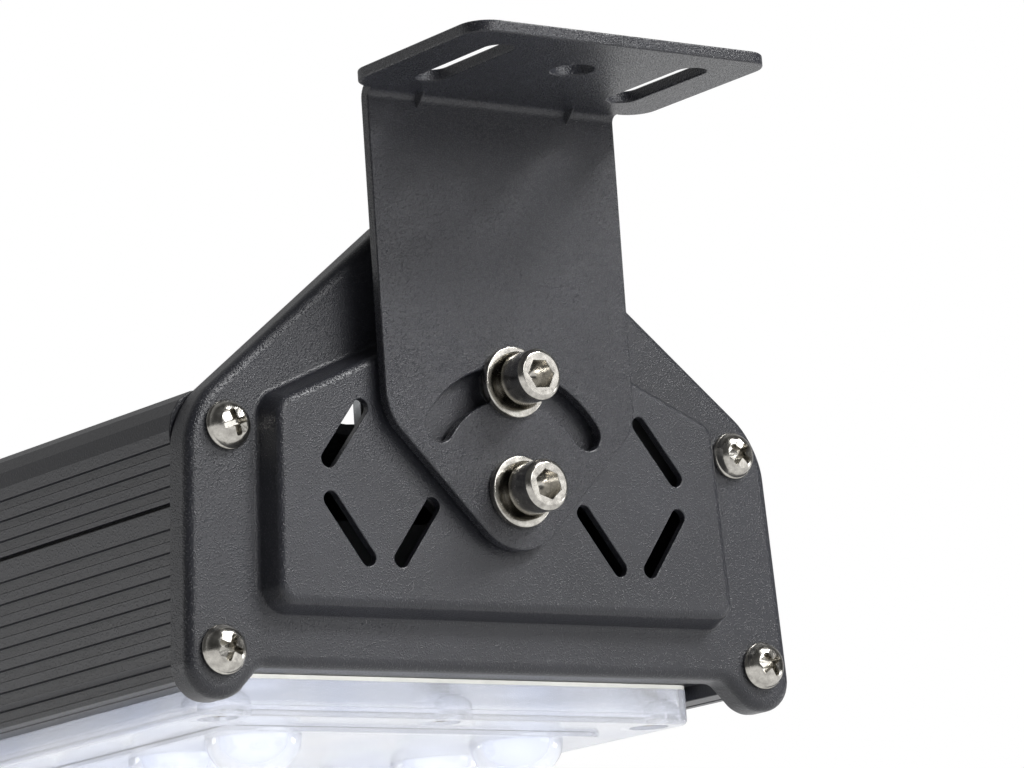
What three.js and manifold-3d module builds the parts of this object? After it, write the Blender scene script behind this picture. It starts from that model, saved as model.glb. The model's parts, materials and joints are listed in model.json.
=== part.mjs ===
// A linear high bay light. An extruded body with a clear lens panel below hangs between two L brackets.
// X runs across the light, Y along it and Z up, in millimetres.
// The origin lies on top of the front bracket's flange, where the light meets the ceiling.
import * as THREE from "three";
import { mergeVertices } from "three/addons/utils/BufferGeometryUtils.js";
import Module from "manifold-3d";

const wasm = await Module();
wasm.setup();

// Overall, with heights counted from the pivot bolt's axis
const bodyLength = 312;
const seat = 0.1;
const overrun = 80;
const smooth = 16;
const small = 10;
const endSteps = 4;
const screwSteps = 8;

// End plate
const plateReach = 73.7;
const plateShoulderInset = 3.3;
const plateShoulderRise = 15.3;
const plateTopReach = 19.3;
const plateTopRise = 56.7;
const plateDrop = 34.6;
const earLength = 6.2;
const earWidth = 10.9;
const earRadiusShare = 0.62;
const shoulderRadius = 17;
const plateTopRadius = 8;
const plateEdge = 2.2;
const plateDepth = 6.5;
const sheet = 1.8;
const cornerTurn = 0.4;

// Raised panel on the end plate, with its six slots
const panelRise = 5.6;
const panelSlope = 3.4;
const panelMargin = 16.1;
const panelDrop = 25.4;
const panelLean = 2.2;
const panelShoulderRise = 18.2;
const panelTopReach = 16;
const panelTopRise = 35.2;
const panelRadius = 6;
const ventWidth = 3.4;
const ventEndShares = [
  [[0.592, 0.455], [0.734, 0.153]],
  [[0.734, -0.074], [0.597, -0.386]],
  [[0.321, -0.08], [0.462, -0.386]],
];

// Screws that hold the end plates
const upperScrewInset = 8.4;
const upperScrewRise = 12;
const lowerScrewInset = 4.6;
const lowerScrewDrop = 31.6;
const panHeadRadius = 4.8;
const panHeadHeight = 3.6;
const panEdgeShare = 0.25;
const crownShares = [0.95, 0.8, 0.45];
const panShankRadius = 2.1;
const panShankLength = 15;
const portRadius = 2.4;
const portWall = 2.3;
const crossLength = 5.4;
const crossWidth = 1.2;
const crossDepth = 2;

// Bracket
const bracketSheet = 2.4;
const bracketStandoff = 1.1;
const legReach = 30.3;
const legShoulder = 14.5;
const legRadius = 10;
const tipRadius = 11.6;
const flangeOverhang = 5.7;
const flangeDepth = 43.9;
const flangeRadius = 5.5;
const flangeUnderside = 79.2;
const bendRadius = 1.5;
const slotSide = 12.6;
const slotStart = 8;
const slotEdge = 7.6;
const slotWidth = 6.4;
const fixingHoleRadius = 4.3;
const fixingHoleEdge = 18.4;
const mountOut = 12;
const gussetInset = 11.9;
const gussetWidth = 2.6;
const gussetSide = 3.4;

// Bolts through the bracket
const boltSpacing = 22;
const boltRadius = 2.95;
const boltHoleRadius = 3.3;
const boltHeadRadius = 5.2;
const boltHeadHeight = 6.6;
const boltChamfer = 0.7;
const socketRadius = 3.2;
const socketDepth = 3.2;
const boltLength = 19;
const arcHalfAngle = THREE.MathUtils.degToRad(55);
const washerRadius = 7.2;
const washerThickness = 1.6;
const springRadius = 5.9;
const springThickness = 1.6;
const springSplit = 1;
const springSplitTurn = THREE.MathUtils.degToRad(30);
const nutFlangeRadius = 5.4;
const nutBodyRadius = 4.4;
const nutBulgeRadius = 5.6;
const nutBulge = 1.8;
const nutTail = 5;
const nutBore = 3.15;

// Plate behind the panel that carries both rivet nuts
const backingSheet = 2.5;
const backingReach = 32.5;
const backingShoulder = 12;
const backingTop = 20.5;
const backingTopReach = 11;
const backingTopRise = 29;
const backingTipReach = 7;
const backingTipDrop = 11;

// Extruded body
const plateOverhang = 3.5;
const wall = 2.6;
const grooveDepth = 1.1;
const ribLand = 2.15;
const ribPitch = 4.45;
const ribCount = 5;
const firstRibTop = -9.25;
const seamDrop = 2.35;
const seamHalf = 0.35;
const tongueRise = 3;
const tongueSheet = 1.2;
const skirtBelowWeb = 3;
const lipHeight = 1.3;
const lipSetback = 0.5;
const lipGroove = 2.1;
const lipGrooveDepth = 1.7;
const skirtEdge = 1;
const webTop = -31;
const webSheet = 2.2;
const finCount = 7;
const finSheet = 1.6;
const finRise = 9;
const railSheet = 6;
const railInset = 9;

// Cover above the seam
const coverRadius = 8.7;
const coverRibPitch = 4.1;
const coverFirstRib = 1.3;
const coverRibCount = 2;
const seamLip = 1.15;
const roofFlatReach = 13;
const roofTop = 18.1;
const roofShares = [[0.845, 1.1], [0.65, 0.925], [0.455, 0.845], [0.31, 0.925]];
const roofSteps = 12;
const coverWall = 2.4;
const roofVentWidth = 4;
const roofVentInset = 1.1;
const innerVentInset = 18.4;
const innerVentCount = 3;
const ventStart = 15;
const longVent = 30;
const shortVent = 10;
const ventWeb = 4.2;
const ventFloor = 17.1;

// Lens panels
const lensInset = 16;
const lensGap = 6;
const lensMargin = 10.4;
const lensRadius = 3;
const lensWall = 2.6;
const lensHeight = 8.2;
const lensSheet = 2.8;
const opticStep = 1;
const opticSide = 12.5;
const opticRadius = 4;
const opticMargin = 13;
const domeInset = 17.5;
const domeMargin = 14;
const domeRows = 4;
const domeRadius = 10.5;
const domeRise = 8;
const domeTurns = 12;
const domeRings = 3;
const gasketThickness = 1;
const gasketWidth = 2.2;
const bossRadius = 5.2;
const lensScrewSide = 7;
const lensScrewMargin = 6;
const lensTipRoom = 1.6;
const lensScrewHole = 2.1;
const counterbore = 4.2;
const lensHeadRadius = 3.6;
const lensHeadHeight = 2.2;
const lensShankRadius = 1.7;
const lensShankLength = 8;
const lensHeadSeat = 2.6;

// LED boards
const boardInset = 0.9;
const boardMargin = 12;
const boardThickness = 1.6;
const emitterSide = 5.8;
const emitterHeight = 0.9;

// Driver on its tray, inside the cover
const traySide = 13.2;
const trayInset = 49;
const trayLip = 7;
const driverReach = 31;
const driverMargin = 2;
const driverHeight = 27;
const driverRadius = 2;
const tabLength = 12;
const tabReach = 11;
const tabSheet = 2;
const innerScrewHole = 2.2;
const innerScrewHead = 3.5;
const innerScrewHeight = 2.4;
const innerScrewShank = 1.8;
const innerScrewLength = 6;
const terminalReach = 13;
const terminalLength = 16;
const terminalHeight = 13;
const terminalWires = 3;
const terminalBore = 2;

// Cable gland on the roof
const glandFromEnd = 62;
const glandSide = 10.4;
const glandHex = 5;
const glandStem = 7.4;
const glandTail = 7;
const glandBore = 4;
const glandCapRadius = 8.6;
const glandCapHeight = 13;
const glandCapTop = 5.6;
const glandThroat = 5.4;
const glandNutSide = 11;
const glandNutHeight = 4;

const looks = {
  powder: { color: 0x2e2f31, roughness: 0.62, metalness: 0.2 },
  anodised: { color: 0x303134, roughness: 0.5, metalness: 0.4 },
  nickel: { color: 0xcfcdc8, roughness: 0.22, metalness: 1 },
  zinc: { color: 0xb4b6b8, roughness: 0.4, metalness: 0.9 },
  aluminium: { color: 0xb9bbbe, roughness: 0.45, metalness: 0.9 },
  clear: { color: 0xe6ebf2, roughness: 0.08, metalness: 0, transparent: true, opacity: 0.35 },
  silicone: { color: 0xe9e9e6, roughness: 0.7, metalness: 0 },
  board: { color: 0xf3f3f0, roughness: 0.5, metalness: 0 },
  driver: { color: 0x8e9194, roughness: 0.5, metalness: 0.7 },
  nylon: { color: 0x1b1b1c, roughness: 0.55, metalness: 0 },
};

// Flat shapes

// Points round a closed polygon of [x, y, radius] corners, anticlockwise, with each corner rounded.
function rounded(corners, turn = cornerTurn) {
  return corners.flatMap(([x, y, radius = 0], i) => {
    const here = new THREE.Vector2(x, y);
    if (!radius) return [here];
    const [lastX, lastY] = corners.at(i - 1);
    const [nextX, nextY] = corners[(i + 1) % corners.length];
    const back = new THREE.Vector2(lastX - x, lastY - y).normalize();
    const on = new THREE.Vector2(nextX - x, nextY - y).normalize();
    const half = Math.acos(THREE.MathUtils.clamp(back.dot(on), -1, 1)) / 2;
    const centre = here.clone().addScaledVector(back.clone().add(on).normalize(), radius / Math.sin(half));
    const start = here.clone().addScaledVector(back, radius / Math.tan(half)).sub(centre);
    const sweep = Math.sign(on.cross(back)) * (Math.PI - 2 * half);
    const steps = Math.max(2, Math.ceil(Math.abs(sweep) / turn));
    return Array.from({ length: steps + 1 }, (_, k) =>
      start.clone().rotateAround(new THREE.Vector2(), (sweep * k) / steps).add(centre),
    );
  });
}

const mirror = (points) => points.map(([x, ...rest]) => [-x, ...rest]).reverse();
const bothSides = (right) => [...right, ...mirror(right)];
const toVectors = (points) => points.map(([x, y]) => new THREE.Vector2(x, y));

// The same outline moved to its left by a distance, open or closed.
function offset(points, distance, closed) {
  return points.map((here, i) => {
    const last = closed ? points.at(i - 1) : points[Math.max(i - 1, 0)];
    const next = closed ? points[(i + 1) % points.length] : points[Math.min(i + 1, points.length - 1)];
    const before = here.clone().sub(last);
    const after = next.clone().sub(here);
    const inward = [before, after]
      .filter((side) => side.length() > 0)
      .map((side) => new THREE.Vector2(-side.y, side.x).normalize());
    const middle = inward.reduce((sum, side) => sum.clone().add(side)).normalize();
    return here.clone().addScaledVector(middle, distance / middle.dot(inward[0]));
  });
}

function circle(x, y, radius, steps = smooth) {
  return Array.from({ length: steps }, (_, k) => {
    const angle = (2 * Math.PI * k) / steps;
    return new THREE.Vector2(x + radius * Math.cos(angle), y + radius * Math.sin(angle));
  });
}

// A hole's outline, which lies just outside its circle so that a round shank clears it.
const bore = (x, y, radius, steps = smooth) => circle(x, y, radius / Math.cos(Math.PI / steps), steps);

// A slot with round ends between two points.
function stadium([fromX, fromY], [toX, toY], width, steps = endSteps) {
  const heading = Math.atan2(toY - fromY, toX - fromX);
  const end = (x, y, start) =>
    Array.from({ length: steps + 1 }, (_, k) => {
      const angle = start + (Math.PI * k) / steps;
      return new THREE.Vector2(x + (width / 2) * Math.cos(angle), y + (width / 2) * Math.sin(angle));
    });
  return [...end(toX, toY, heading - Math.PI / 2), ...end(fromX, fromY, heading + Math.PI / 2)];
}

const box = (x0, x1, y0, y1) => toVectors([[x0, y0], [x1, y0], [x1, y1], [x0, y1]]);

// Solids

function slab(points, holes, depth, options = {}) {
  const shape = new THREE.Shape(points);
  shape.holes = holes.map((hole) => new THREE.Path(hole));
  return new THREE.ExtrudeGeometry(shape, { depth, bevelEnabled: false, ...options });
}

// Outlines in X and Z, run along Y; in X and Y, run along Z; and in Y and Z, run along X.
const alongY = (points, holes, from, to, options) =>
  slab(points, holes, to - from, options)
    .rotateX(Math.PI / 2)
    .translate(0, to, 0);
const alongZ = (points, holes, from, to, options) =>
  slab(points, holes, to - from, options).translate(0, 0, from);
const alongX = (points, from, to) =>
  slab(points, [], to - from)
    .applyMatrix4(
      new THREE.Matrix4().makeBasis(
        new THREE.Vector3(0, 1, 0),
        new THREE.Vector3(0, 0, 1),
        new THREE.Vector3(1, 0, 0),
      ),
    )
    .translate(from, 0, 0);

// A turned piece about the Y axis, from [radius, y] points.
function turned(profile, steps = smooth) {
  const area = profile.reduce((sum, [radius, y], i) => {
    const [nextRadius, nextY] = profile[(i + 1) % profile.length];
    return sum + radius * nextY - nextRadius * y;
  }, 0);
  const points = toVectors(area < 0 ? [...profile].reverse() : profile);
  if (profile.every(([radius]) => radius > 0)) points.push(points[0].clone());
  return new THREE.LatheGeometry(points, steps);
}

const upright = (geometry) => geometry.rotateX(Math.PI / 2);

function solid(geometry) {
  const bare = geometry.clone();
  bare.deleteAttribute("normal");
  bare.deleteAttribute("uv");
  const merged = mergeVertices(bare);
  return new wasm.Manifold(
    new wasm.Mesh({
      numProp: 3,
      vertProperties: merged.attributes.position.array,
      triVerts: new Uint32Array(merged.index.array),
    }),
  );
}

function geometryOf(body) {
  const mesh = body.getMesh();
  const geometry = new THREE.BufferGeometry();
  geometry.setAttribute("position", new THREE.BufferAttribute(mesh.vertProperties, mesh.numProp));
  geometry.setIndex(new THREE.BufferAttribute(mesh.triVerts, 1));
  geometry.computeVertexNormals();
  return geometry;
}

const join = (geometries) => geometries.map(solid).reduce((sum, piece) => sum.add(piece));
const cut = (body, geometries) => geometries.map(solid).reduce((rest, piece) => rest.subtract(piece), body);

function part(name, geometry, look) {
  const mesh = new THREE.Mesh(geometry, new THREE.MeshStandardMaterial(looks[look]));
  mesh.name = name;
  return mesh;
}

// Where things lie
const bodyReach = plateReach - plateOverhang;
const panelReach = plateReach - panelMargin;
const panelFace = -panelRise;
const bracketBack = panelFace - bracketStandoff;
const bracketFront = bracketBack - bracketSheet;
const washerFront = bracketFront - seat - washerThickness;
const springFront = washerFront - seat - springThickness;
const headUnder = springFront - seat;
const flangeTop = flangeUnderside + bracketSheet;
const webUnder = webTop - webSheet;
const lensDrop = lensHeight - webUnder;
const bodyStart = plateDepth + seat;
const bodyEnd = bodyLength - bodyStart;
const boltPlaces = { pivot: 0, lock: boltSpacing };
const upperScrew = [bodyReach - upperScrewInset, upperScrewRise];
const lowerScrew = [bodyReach - lowerScrewInset, -lowerScrewDrop];

// End plate

const earInner = plateReach - earWidth;
const earDrop = plateDrop + earLength;
const earRadius = earWidth * earRadiusShare;
const plateCorners = bothSides([
  [earInner - earLength, -plateDrop, earRadius / 2],
  [earInner, -earDrop, earRadius],
  [plateReach, -earDrop, earRadius],
  [plateReach - plateShoulderInset, plateShoulderRise, shoulderRadius],
  [plateTopReach, plateTopRise, plateTopRadius],
]);
const panelCorners = bothSides([
  [panelReach, -panelDrop, panelRadius],
  [panelReach - panelLean, panelShoulderRise, panelRadius],
  [panelTopReach, panelTopRise, panelRadius],
]);

// The panel's block, its sides sloping in towards a face at -rise, and its root at y = root.
function raised(points, rise, root) {
  const both = alongY(points, [], 0, root, {
    bevelEnabled: true,
    bevelThickness: rise,
    bevelSize: panelSlope,
    bevelOffset: -panelSlope,
    bevelSegments: 1,
  });
  const behind = alongY(box(-plateReach, plateReach, -plateTopRise, plateTopRise), [], root, overrun);
  return geometryOf(cut(solid(both), [behind]));
}

function plateGeometry() {
  const edge = rounded(plateCorners);
  const panel = rounded(panelCorners);
  const outer = alongY(edge, [], plateEdge, plateDepth + plateEdge, {
    bevelEnabled: true,
    bevelThickness: plateEdge,
    bevelSize: plateEdge,
    bevelOffset: -plateEdge,
    bevelSegments: 2,
  });
  const screwPlaces = [upperScrew, lowerScrew].flatMap(([x, z]) => [[x, z], [-x, z]]);
  const shell = cut(join([outer, raised(panel, panelRise, sheet)]), [
    alongY(box(-plateReach, plateReach, -overrun, overrun), [], plateDepth, overrun),
    alongY(offset(edge, sheet, true), [], sheet, overrun),
    raised(offset(panel, sheet, true), panelRise - sheet, plateDepth),
  ]);
  const bosses = screwPlaces.map(([x, z]) =>
    alongY(circle(x, z, portRadius + portWall, small), [], sheet / 2, plateDepth),
  );
  const vents = [-1, 1].flatMap((side) =>
    ventEndShares.map((ends) => {
      const [from, to] = ends.map(([across, up]) => [side * across * panelReach, up * panelTopRise]);
      return stadium(from, to, ventWidth);
    }),
  );
  const holes = [
    ...vents,
    ...screwPlaces.map(([x, z]) => bore(x, z, portRadius, small)),
    ...Object.values(boltPlaces).map((z) => bore(0, z, nutBodyRadius + seat)),
  ].map((hole) => alongY(hole, [], -overrun, overrun));
  return geometryOf(cut(bosses.map(solid).reduce((sum, boss) => sum.add(boss), shell), holes));
}

// Plus-shaped outline of a cross recess.
function cross() {
  const long = crossLength / 2;
  const short = crossWidth / 2;
  const quarter = [[long, -short], [long, short], [short, short]];
  return [0, 1, 2, 3].flatMap((k) =>
    toVectors(quarter).map((point) => point.rotateAround(new THREE.Vector2(), (k * Math.PI) / 2)),
  );
}

function panScrewGeometry() {
  const crown = crownShares.map((share) => [
    panHeadRadius * share,
    -seat - panHeadHeight * Math.sqrt(1 - share * share * share),
  ]);
  const body = turned([
    [0, panShankLength],
    [panShankRadius, panShankLength],
    [panShankRadius, -seat],
    [panHeadRadius, -seat],
    [panHeadRadius, -seat - panHeadHeight * panEdgeShare],
    ...crown,
    [0, -seat - panHeadHeight],
  ]);
  const recess = alongY(cross(), [], -overrun, crossDepth - panHeadHeight);
  return geometryOf(cut(solid(body), [recess]));
}

// Bracket

function bracketGeometry() {
  const bendFront = bracketFront - bendRadius;
  const bendTop = flangeUnderside - bendRadius;
  const diagonal = tipRadius * Math.SQRT2;
  const leg = rounded(
    bothSides([
      [0, -diagonal, tipRadius],
      [legReach, legShoulder, legRadius],
      [legReach, bendTop],
    ]).slice(0, -1),
  );
  const arc = (radius, from, to) =>
    Array.from({ length: smooth + 1 }, (_, k) => {
      const angle = from + ((to - from) * k) / smooth;
      return new THREE.Vector2(radius * Math.sin(angle), radius * Math.cos(angle));
    });
  const arcCap = (side) => {
    const steps = endSteps;
    const angle = side * arcHalfAngle;
    return Array.from({ length: steps - 1 }, (_, k) => {
      const turn = angle + side * ((Math.PI * (k + 1)) / steps);
      return new THREE.Vector2(
        boltSpacing * Math.sin(angle) + boltHoleRadius * Math.sin(turn),
        boltSpacing * Math.cos(angle) + boltHoleRadius * Math.cos(turn),
      );
    });
  };
  const arcSlot = [
    ...arc(boltSpacing + boltHoleRadius, -arcHalfAngle, arcHalfAngle),
    ...arcCap(1),
    ...arc(boltSpacing - boltHoleRadius, arcHalfAngle, -arcHalfAngle),
    ...arcCap(-1).reverse(),
  ];
  const flangeReach = legReach + flangeOverhang;
  const flange = rounded([
    [-flangeReach, bendFront - flangeDepth, flangeRadius],
    [flangeReach, bendFront - flangeDepth, flangeRadius],
    [flangeReach, bendFront, flangeRadius],
    [-flangeReach, bendFront, flangeRadius],
  ]);
  const slotFrom = bendFront - flangeDepth + slotEdge + slotWidth / 2;
  const slotTo = bendFront - slotStart - slotWidth / 2;
  const slotX = flangeReach - slotSide;
  const slots = [-slotX, slotX].map((x) => stadium([x, slotFrom], [x, slotTo], slotWidth));
  const quarter = (radius) =>
    Array.from({ length: endSteps + 1 }, (_, k) => {
      const angle = ((Math.PI / 2) * k) / endSteps;
      return new THREE.Vector2(bendFront + radius * Math.cos(angle), bendTop + radius * Math.sin(angle));
    });
  const bend = [...quarter(bendRadius + bracketSheet), ...quarter(bendRadius).reverse()];
  const neck = box(-legReach, legReach, bendFront - flangeRadius, bendFront);
  const gussetX = legReach - gussetInset;
  const gussets = [-gussetX, gussetX].map((x) =>
    alongX(
      toVectors([
        [bracketFront + seat, flangeUnderside + seat],
        [bracketFront - gussetSide, flangeUnderside + seat],
        [bracketFront + seat, flangeUnderside - gussetSide],
      ]).reverse(),
      x - gussetWidth / 2,
      x + gussetWidth / 2,
    ),
  );
  const fixingHole = bore(0, bendFront - flangeDepth + fixingHoleEdge, fixingHoleRadius);
  return geometryOf(
    join([
      alongY(leg, [bore(0, 0, boltHoleRadius), arcSlot], bracketFront, bracketBack),
      alongX(bend, -legReach, legReach),
      alongZ(neck, [], flangeUnderside, flangeTop),
      alongZ(flange, [fixingHole, ...slots], flangeUnderside, flangeTop),
      ...gussets,
    ]),
  );
}

// Bolts, washers and nuts, each about its own axis

function boltGeometry() {
  const face = headUnder - boltHeadHeight;
  const body = turned([
    [0, face],
    [boltHeadRadius - boltChamfer, face],
    [boltHeadRadius, face + boltChamfer],
    [boltHeadRadius, headUnder],
    [boltRadius, headUnder],
    [boltRadius, headUnder + boltLength],
    [0, headUnder + boltLength],
  ]);
  const socket = new THREE.CylinderGeometry(socketRadius, socketRadius, 2 * socketDepth, 6);
  return geometryOf(cut(solid(body), [socket.translate(0, face, 0)]));
}

const ringGeometry = (outer, from, to) =>
  turned([
    [boltHoleRadius, from],
    [outer, from],
    [outer, to],
    [boltHoleRadius, to],
  ]);

function springWasherGeometry() {
  const ring = ringGeometry(springRadius, springFront, springFront + springThickness);
  const split = new THREE.BoxGeometry(springRadius * 2, springThickness * 3, springSplit)
    .rotateX(springSplitTurn)
    .translate(springRadius, springFront + springThickness / 2, 0)
    .rotateY(-Math.PI / 4);
  return geometryOf(cut(solid(ring), [split]));
}

const nutPlateFront = panelFace + sheet + seat;
const nutPlateBack = nutPlateFront + backingSheet;

const rivetNutGeometry = () =>
  turned(
    [
      [nutBore, bracketBack + seat],
      [nutFlangeRadius, bracketBack + seat],
      [nutFlangeRadius, panelFace - seat],
      [nutBodyRadius, panelFace - seat],
      [nutBodyRadius, nutPlateBack + seat],
      [nutBulgeRadius, nutPlateBack + seat],
      [nutBodyRadius, nutPlateBack + seat + nutBulge],
      [nutBodyRadius, nutTail],
      [nutBore, nutTail],
    ],
    small,
  );

function nutPlateGeometry() {
  const edge = toVectors(
    bothSides([
      [backingTipReach, -backingTipDrop],
      [backingReach, backingShoulder],
      [backingReach, backingTop],
      [backingTopReach, backingTopRise],
    ]),
  );
  const holes = Object.values(boltPlaces).map((z) => bore(0, z, nutBodyRadius + seat));
  return alongY(edge, holes, nutPlateFront, nutPlateBack);
}

// Lower body: grooved walls, the web that carries the lens panels, and fins inside

const bottomEdge = webUnder - skirtBelowWeb;
const lowerTop = -seamDrop - seamHalf;
const trayReach = bodyReach - traySide;
const railReach = trayReach - railInset;
const finPitch = (2 * railReach) / (finCount + 1);

function lowerBodyPoints() {
  const groove = bodyReach - grooveDepth;
  const ribs = Array.from({ length: ribCount }, (_, k) => {
    const top = firstRibTop - ribPitch * (ribCount - 1 - k);
    return [
      [groove, top - ribLand],
      [bodyReach, top - ribLand],
      [bodyReach, top],
      [groove, top],
    ];
  }).flat();
  const lipTop = bottomEdge + lipHeight;
  const lastRib = firstRibTop - ribPitch * ribCount;
  const inner = bodyReach - grooveDepth - wall;
  const portLow = lowerScrew[1] - portRadius - portWall;
  const portHigh = lowerScrew[1] + portRadius + portWall;
  const portSide = lowerScrew[0] - portRadius - portWall;
  const outside = [
    [inner, bottomEdge],
    [bodyReach - lipSetback, bottomEdge],
    [bodyReach - lipSetback, lipTop],
    [bodyReach - lipGrooveDepth, lipTop],
    [bodyReach - lipGrooveDepth, lipTop + lipGroove],
    [bodyReach - skirtEdge, lipTop + lipGroove],
    [bodyReach, lipTop + lipGroove + skirtEdge],
    [bodyReach, lastRib],
    [groove, lastRib],
    ...ribs,
    [groove, firstRibTop + ribPitch - ribLand],
    [bodyReach, firstRibTop + ribPitch - ribLand],
    [bodyReach, lowerTop],
    [inner + tongueSheet, lowerTop],
    [inner + tongueSheet, lowerTop + tongueRise],
    [inner, lowerTop + tongueRise],
  ];
  const fins = Array.from({ length: finCount + 2 }, (_, k) => {
    const number = (finCount + 1) / 2 - k;
    const half = Math.abs(number) === (finCount + 1) / 2 ? railSheet / 2 : finSheet / 2;
    const x = number * finPitch;
    return [
      [x + half, webTop],
      [x + half, webTop + finRise],
      [x - half, webTop + finRise],
      [x - half, webTop],
    ];
  }).flat();
  const port = [
    [inner, portHigh],
    [portSide, portHigh],
    [portSide, webTop],
  ];
  const under = [
    [portSide, webUnder],
    [portSide, portLow],
    [inner, portLow],
  ];
  const above = [...outside, ...port, ...fins, ...mirror(port), ...mirror(outside)];
  return toVectors([...above, ...mirror(under), ...under]);
}

const lensLength = (bodyLength - 2 * lensInset - lensGap) / 2;
const lensReach = bodyReach - lensMargin;
const lensPlaces = [lensInset, lensInset + lensLength + lensGap];
const lensScrewReach = lensReach - lensScrewSide;
const lensScrewPlaces = [-lensScrewReach, 0, lensScrewReach].flatMap((x) => [
  [x, lensScrewMargin],
  [x, lensLength - lensScrewMargin],
]);
const trayEnd = bodyLength - trayInset;
const trayScrewPlaces = [
  [-railReach, trayInset + trayLip],
  [railReach, trayEnd - trayLip],
];

function lowerBodyGeometry() {
  const ports = [lowerScrew[0], -lowerScrew[0]].map((x) => bore(x, lowerScrew[1], portRadius, small));
  const body = solid(alongY(lowerBodyPoints(), ports, bodyStart, bodyEnd));
  const lensHoles = lensPlaces.flatMap((y) =>
    lensScrewPlaces.map(([x, along]) =>
      alongZ(bore(x, y + along, lensShankRadius + seat, screwSteps), [], -overrun, webTop + lensTipRoom),
    ),
  );
  const trayHoles = trayScrewPlaces.map(([x, y]) =>
    alongZ(bore(x, y, innerScrewShank + seat, screwSteps), [], webTop, overrun),
  );
  return geometryOf(cut(body, [...lensHoles, ...trayHoles]));
}

// Cover: a thin shell over the driver, with vents in the roof

const shoulderX = bodyReach - coverRadius;

function coverPoints() {
  const groove = bodyReach - grooveDepth;
  const bottom = -seamDrop + seamHalf;
  const shoulderZ = upperScrewRise - seat;
  const shoulder = Array.from({ length: endSteps + 1 }, (_, k) => {
    const angle = ((Math.PI / 2) * k) / endSteps;
    return [shoulderX + coverRadius * Math.cos(angle), shoulderZ + coverRadius * Math.sin(angle)];
  });
  const dips = roofShares.map(([across, up]) => [across * shoulderX, up * roofTop]);
  const roof = new THREE.SplineCurve(toVectors([shoulder.at(-1), ...dips, [roofFlatReach, roofTop]]))
    .getPoints(roofSteps)
    .slice(1)
    .map(({ x, y }) => [x, y]);
  const ribs = Array.from({ length: coverRibCount }, (_, k) => {
    const low = coverFirstRib + coverRibPitch * k;
    return [
      [groove, low],
      [bodyReach, low],
      [bodyReach, low + ribLand],
      [groove, low + ribLand],
    ];
  }).flat();
  const lastRib = coverFirstRib + coverRibPitch * coverRibCount;
  const outer = [
    [bodyReach, bottom],
    [bodyReach, bottom + seamLip],
    [groove, bottom + seamLip],
    ...ribs,
    [groove, lastRib],
    [bodyReach, lastRib],
    ...shoulder,
    ...roof,
  ];
  const plain = toVectors(bothSides([[bodyReach, bottom], ...shoulder, ...roof]));
  const inner = offset(plain, coverWall, false).reverse();
  return [...toVectors(bothSides(outer)), ...inner];
}

// Lengthwise [start, end] of the vents beside each shoulder, and of the inner row.
const shoulderVents = (() => {
  const first = [ventStart, ventStart + longVent];
  const second = [first[1] + ventWeb, first[1] + ventWeb + shortVent];
  const middle = [(bodyLength - longVent) / 2, (bodyLength + longVent) / 2];
  const beside = [middle[0] - ventWeb - shortVent, middle[0] - ventWeb];
  const otherEnd = ([from, to]) => [bodyLength - to, bodyLength - from];
  return [first, second, beside, middle, otherEnd(beside), otherEnd(second), otherEnd(first)];
})();
const innerVents = Array.from({ length: innerVentCount }, (_, k) => {
  const middle = (bodyLength * (k + 1)) / (innerVentCount + 1);
  return [middle - longVent / 2, middle + longVent / 2];
});

const glandPlace = bodyLength - glandFromEnd;

function coverGeometry() {
  const shell = alongY(coverPoints(), [], bodyStart, bodyEnd);
  const sides = [-1, 1];
  const ports = sides.map((side) =>
    alongY(circle(side * upperScrew[0], upperScrew[1], portRadius + portWall), [], bodyStart, bodyEnd),
  );
  const ribs = sides.map((side) => {
    const from = side * upperScrew[0];
    const to = side * (bodyReach - coverWall / 2);
    const half = portWall / 2;
    const web = box(Math.min(from, to), Math.max(from, to), upperScrew[1] - half, upperScrew[1] + half);
    return alongY(web, [], bodyStart, bodyEnd);
  });
  const bores = sides.map((side) =>
    alongY(bore(side * upperScrew[0], upperScrew[1], portRadius, small), [], 0, bodyLength),
  );
  const slot = (x, floor) => ([from, to]) =>
    alongZ(
      stadium([x, from + roofVentWidth / 2], [x, to - roofVentWidth / 2], roofVentWidth, endSteps / 2),
      [],
      floor,
      plateTopRise,
    );
  const ventReach = shoulderX - roofVentInset;
  const vents = sides.flatMap((side) => [
    ...shoulderVents.map(slot(side * ventReach, ventFloor)),
    ...innerVents.map(slot(side * (ventReach - innerVentInset), 0)),
  ]);
  const glandHole = alongZ(bore(0, glandPlace, glandStem + seat), [], 0, plateTopRise);
  return geometryOf(cut(join([shell, ...ports, ...ribs]), [...bores, ...vents, glandHole]));
}

// Lens panel, from y = 0 to its length: a tray with screw bosses and a dome over each emitter

const lensTop = webUnder - gasketThickness;
const opticReach = lensReach - opticSide;
const domeSpread = opticReach - domeInset;
const domePitch = (lensLength - 2 * domeMargin) / domeRows;
const domePlaces = [-domeSpread, domeSpread].flatMap((x) =>
  Array.from({ length: domeRows }, (_, k) => [x, lensLength / 2 + (k - (domeRows - 1) / 2) * domePitch]),
);

function panelOutline(reach, margin, radius) {
  return rounded([
    [-reach, margin, radius],
    [reach, margin, radius],
    [reach, lensLength - margin, radius],
    [-reach, lensLength - margin, radius],
  ]);
}

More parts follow.
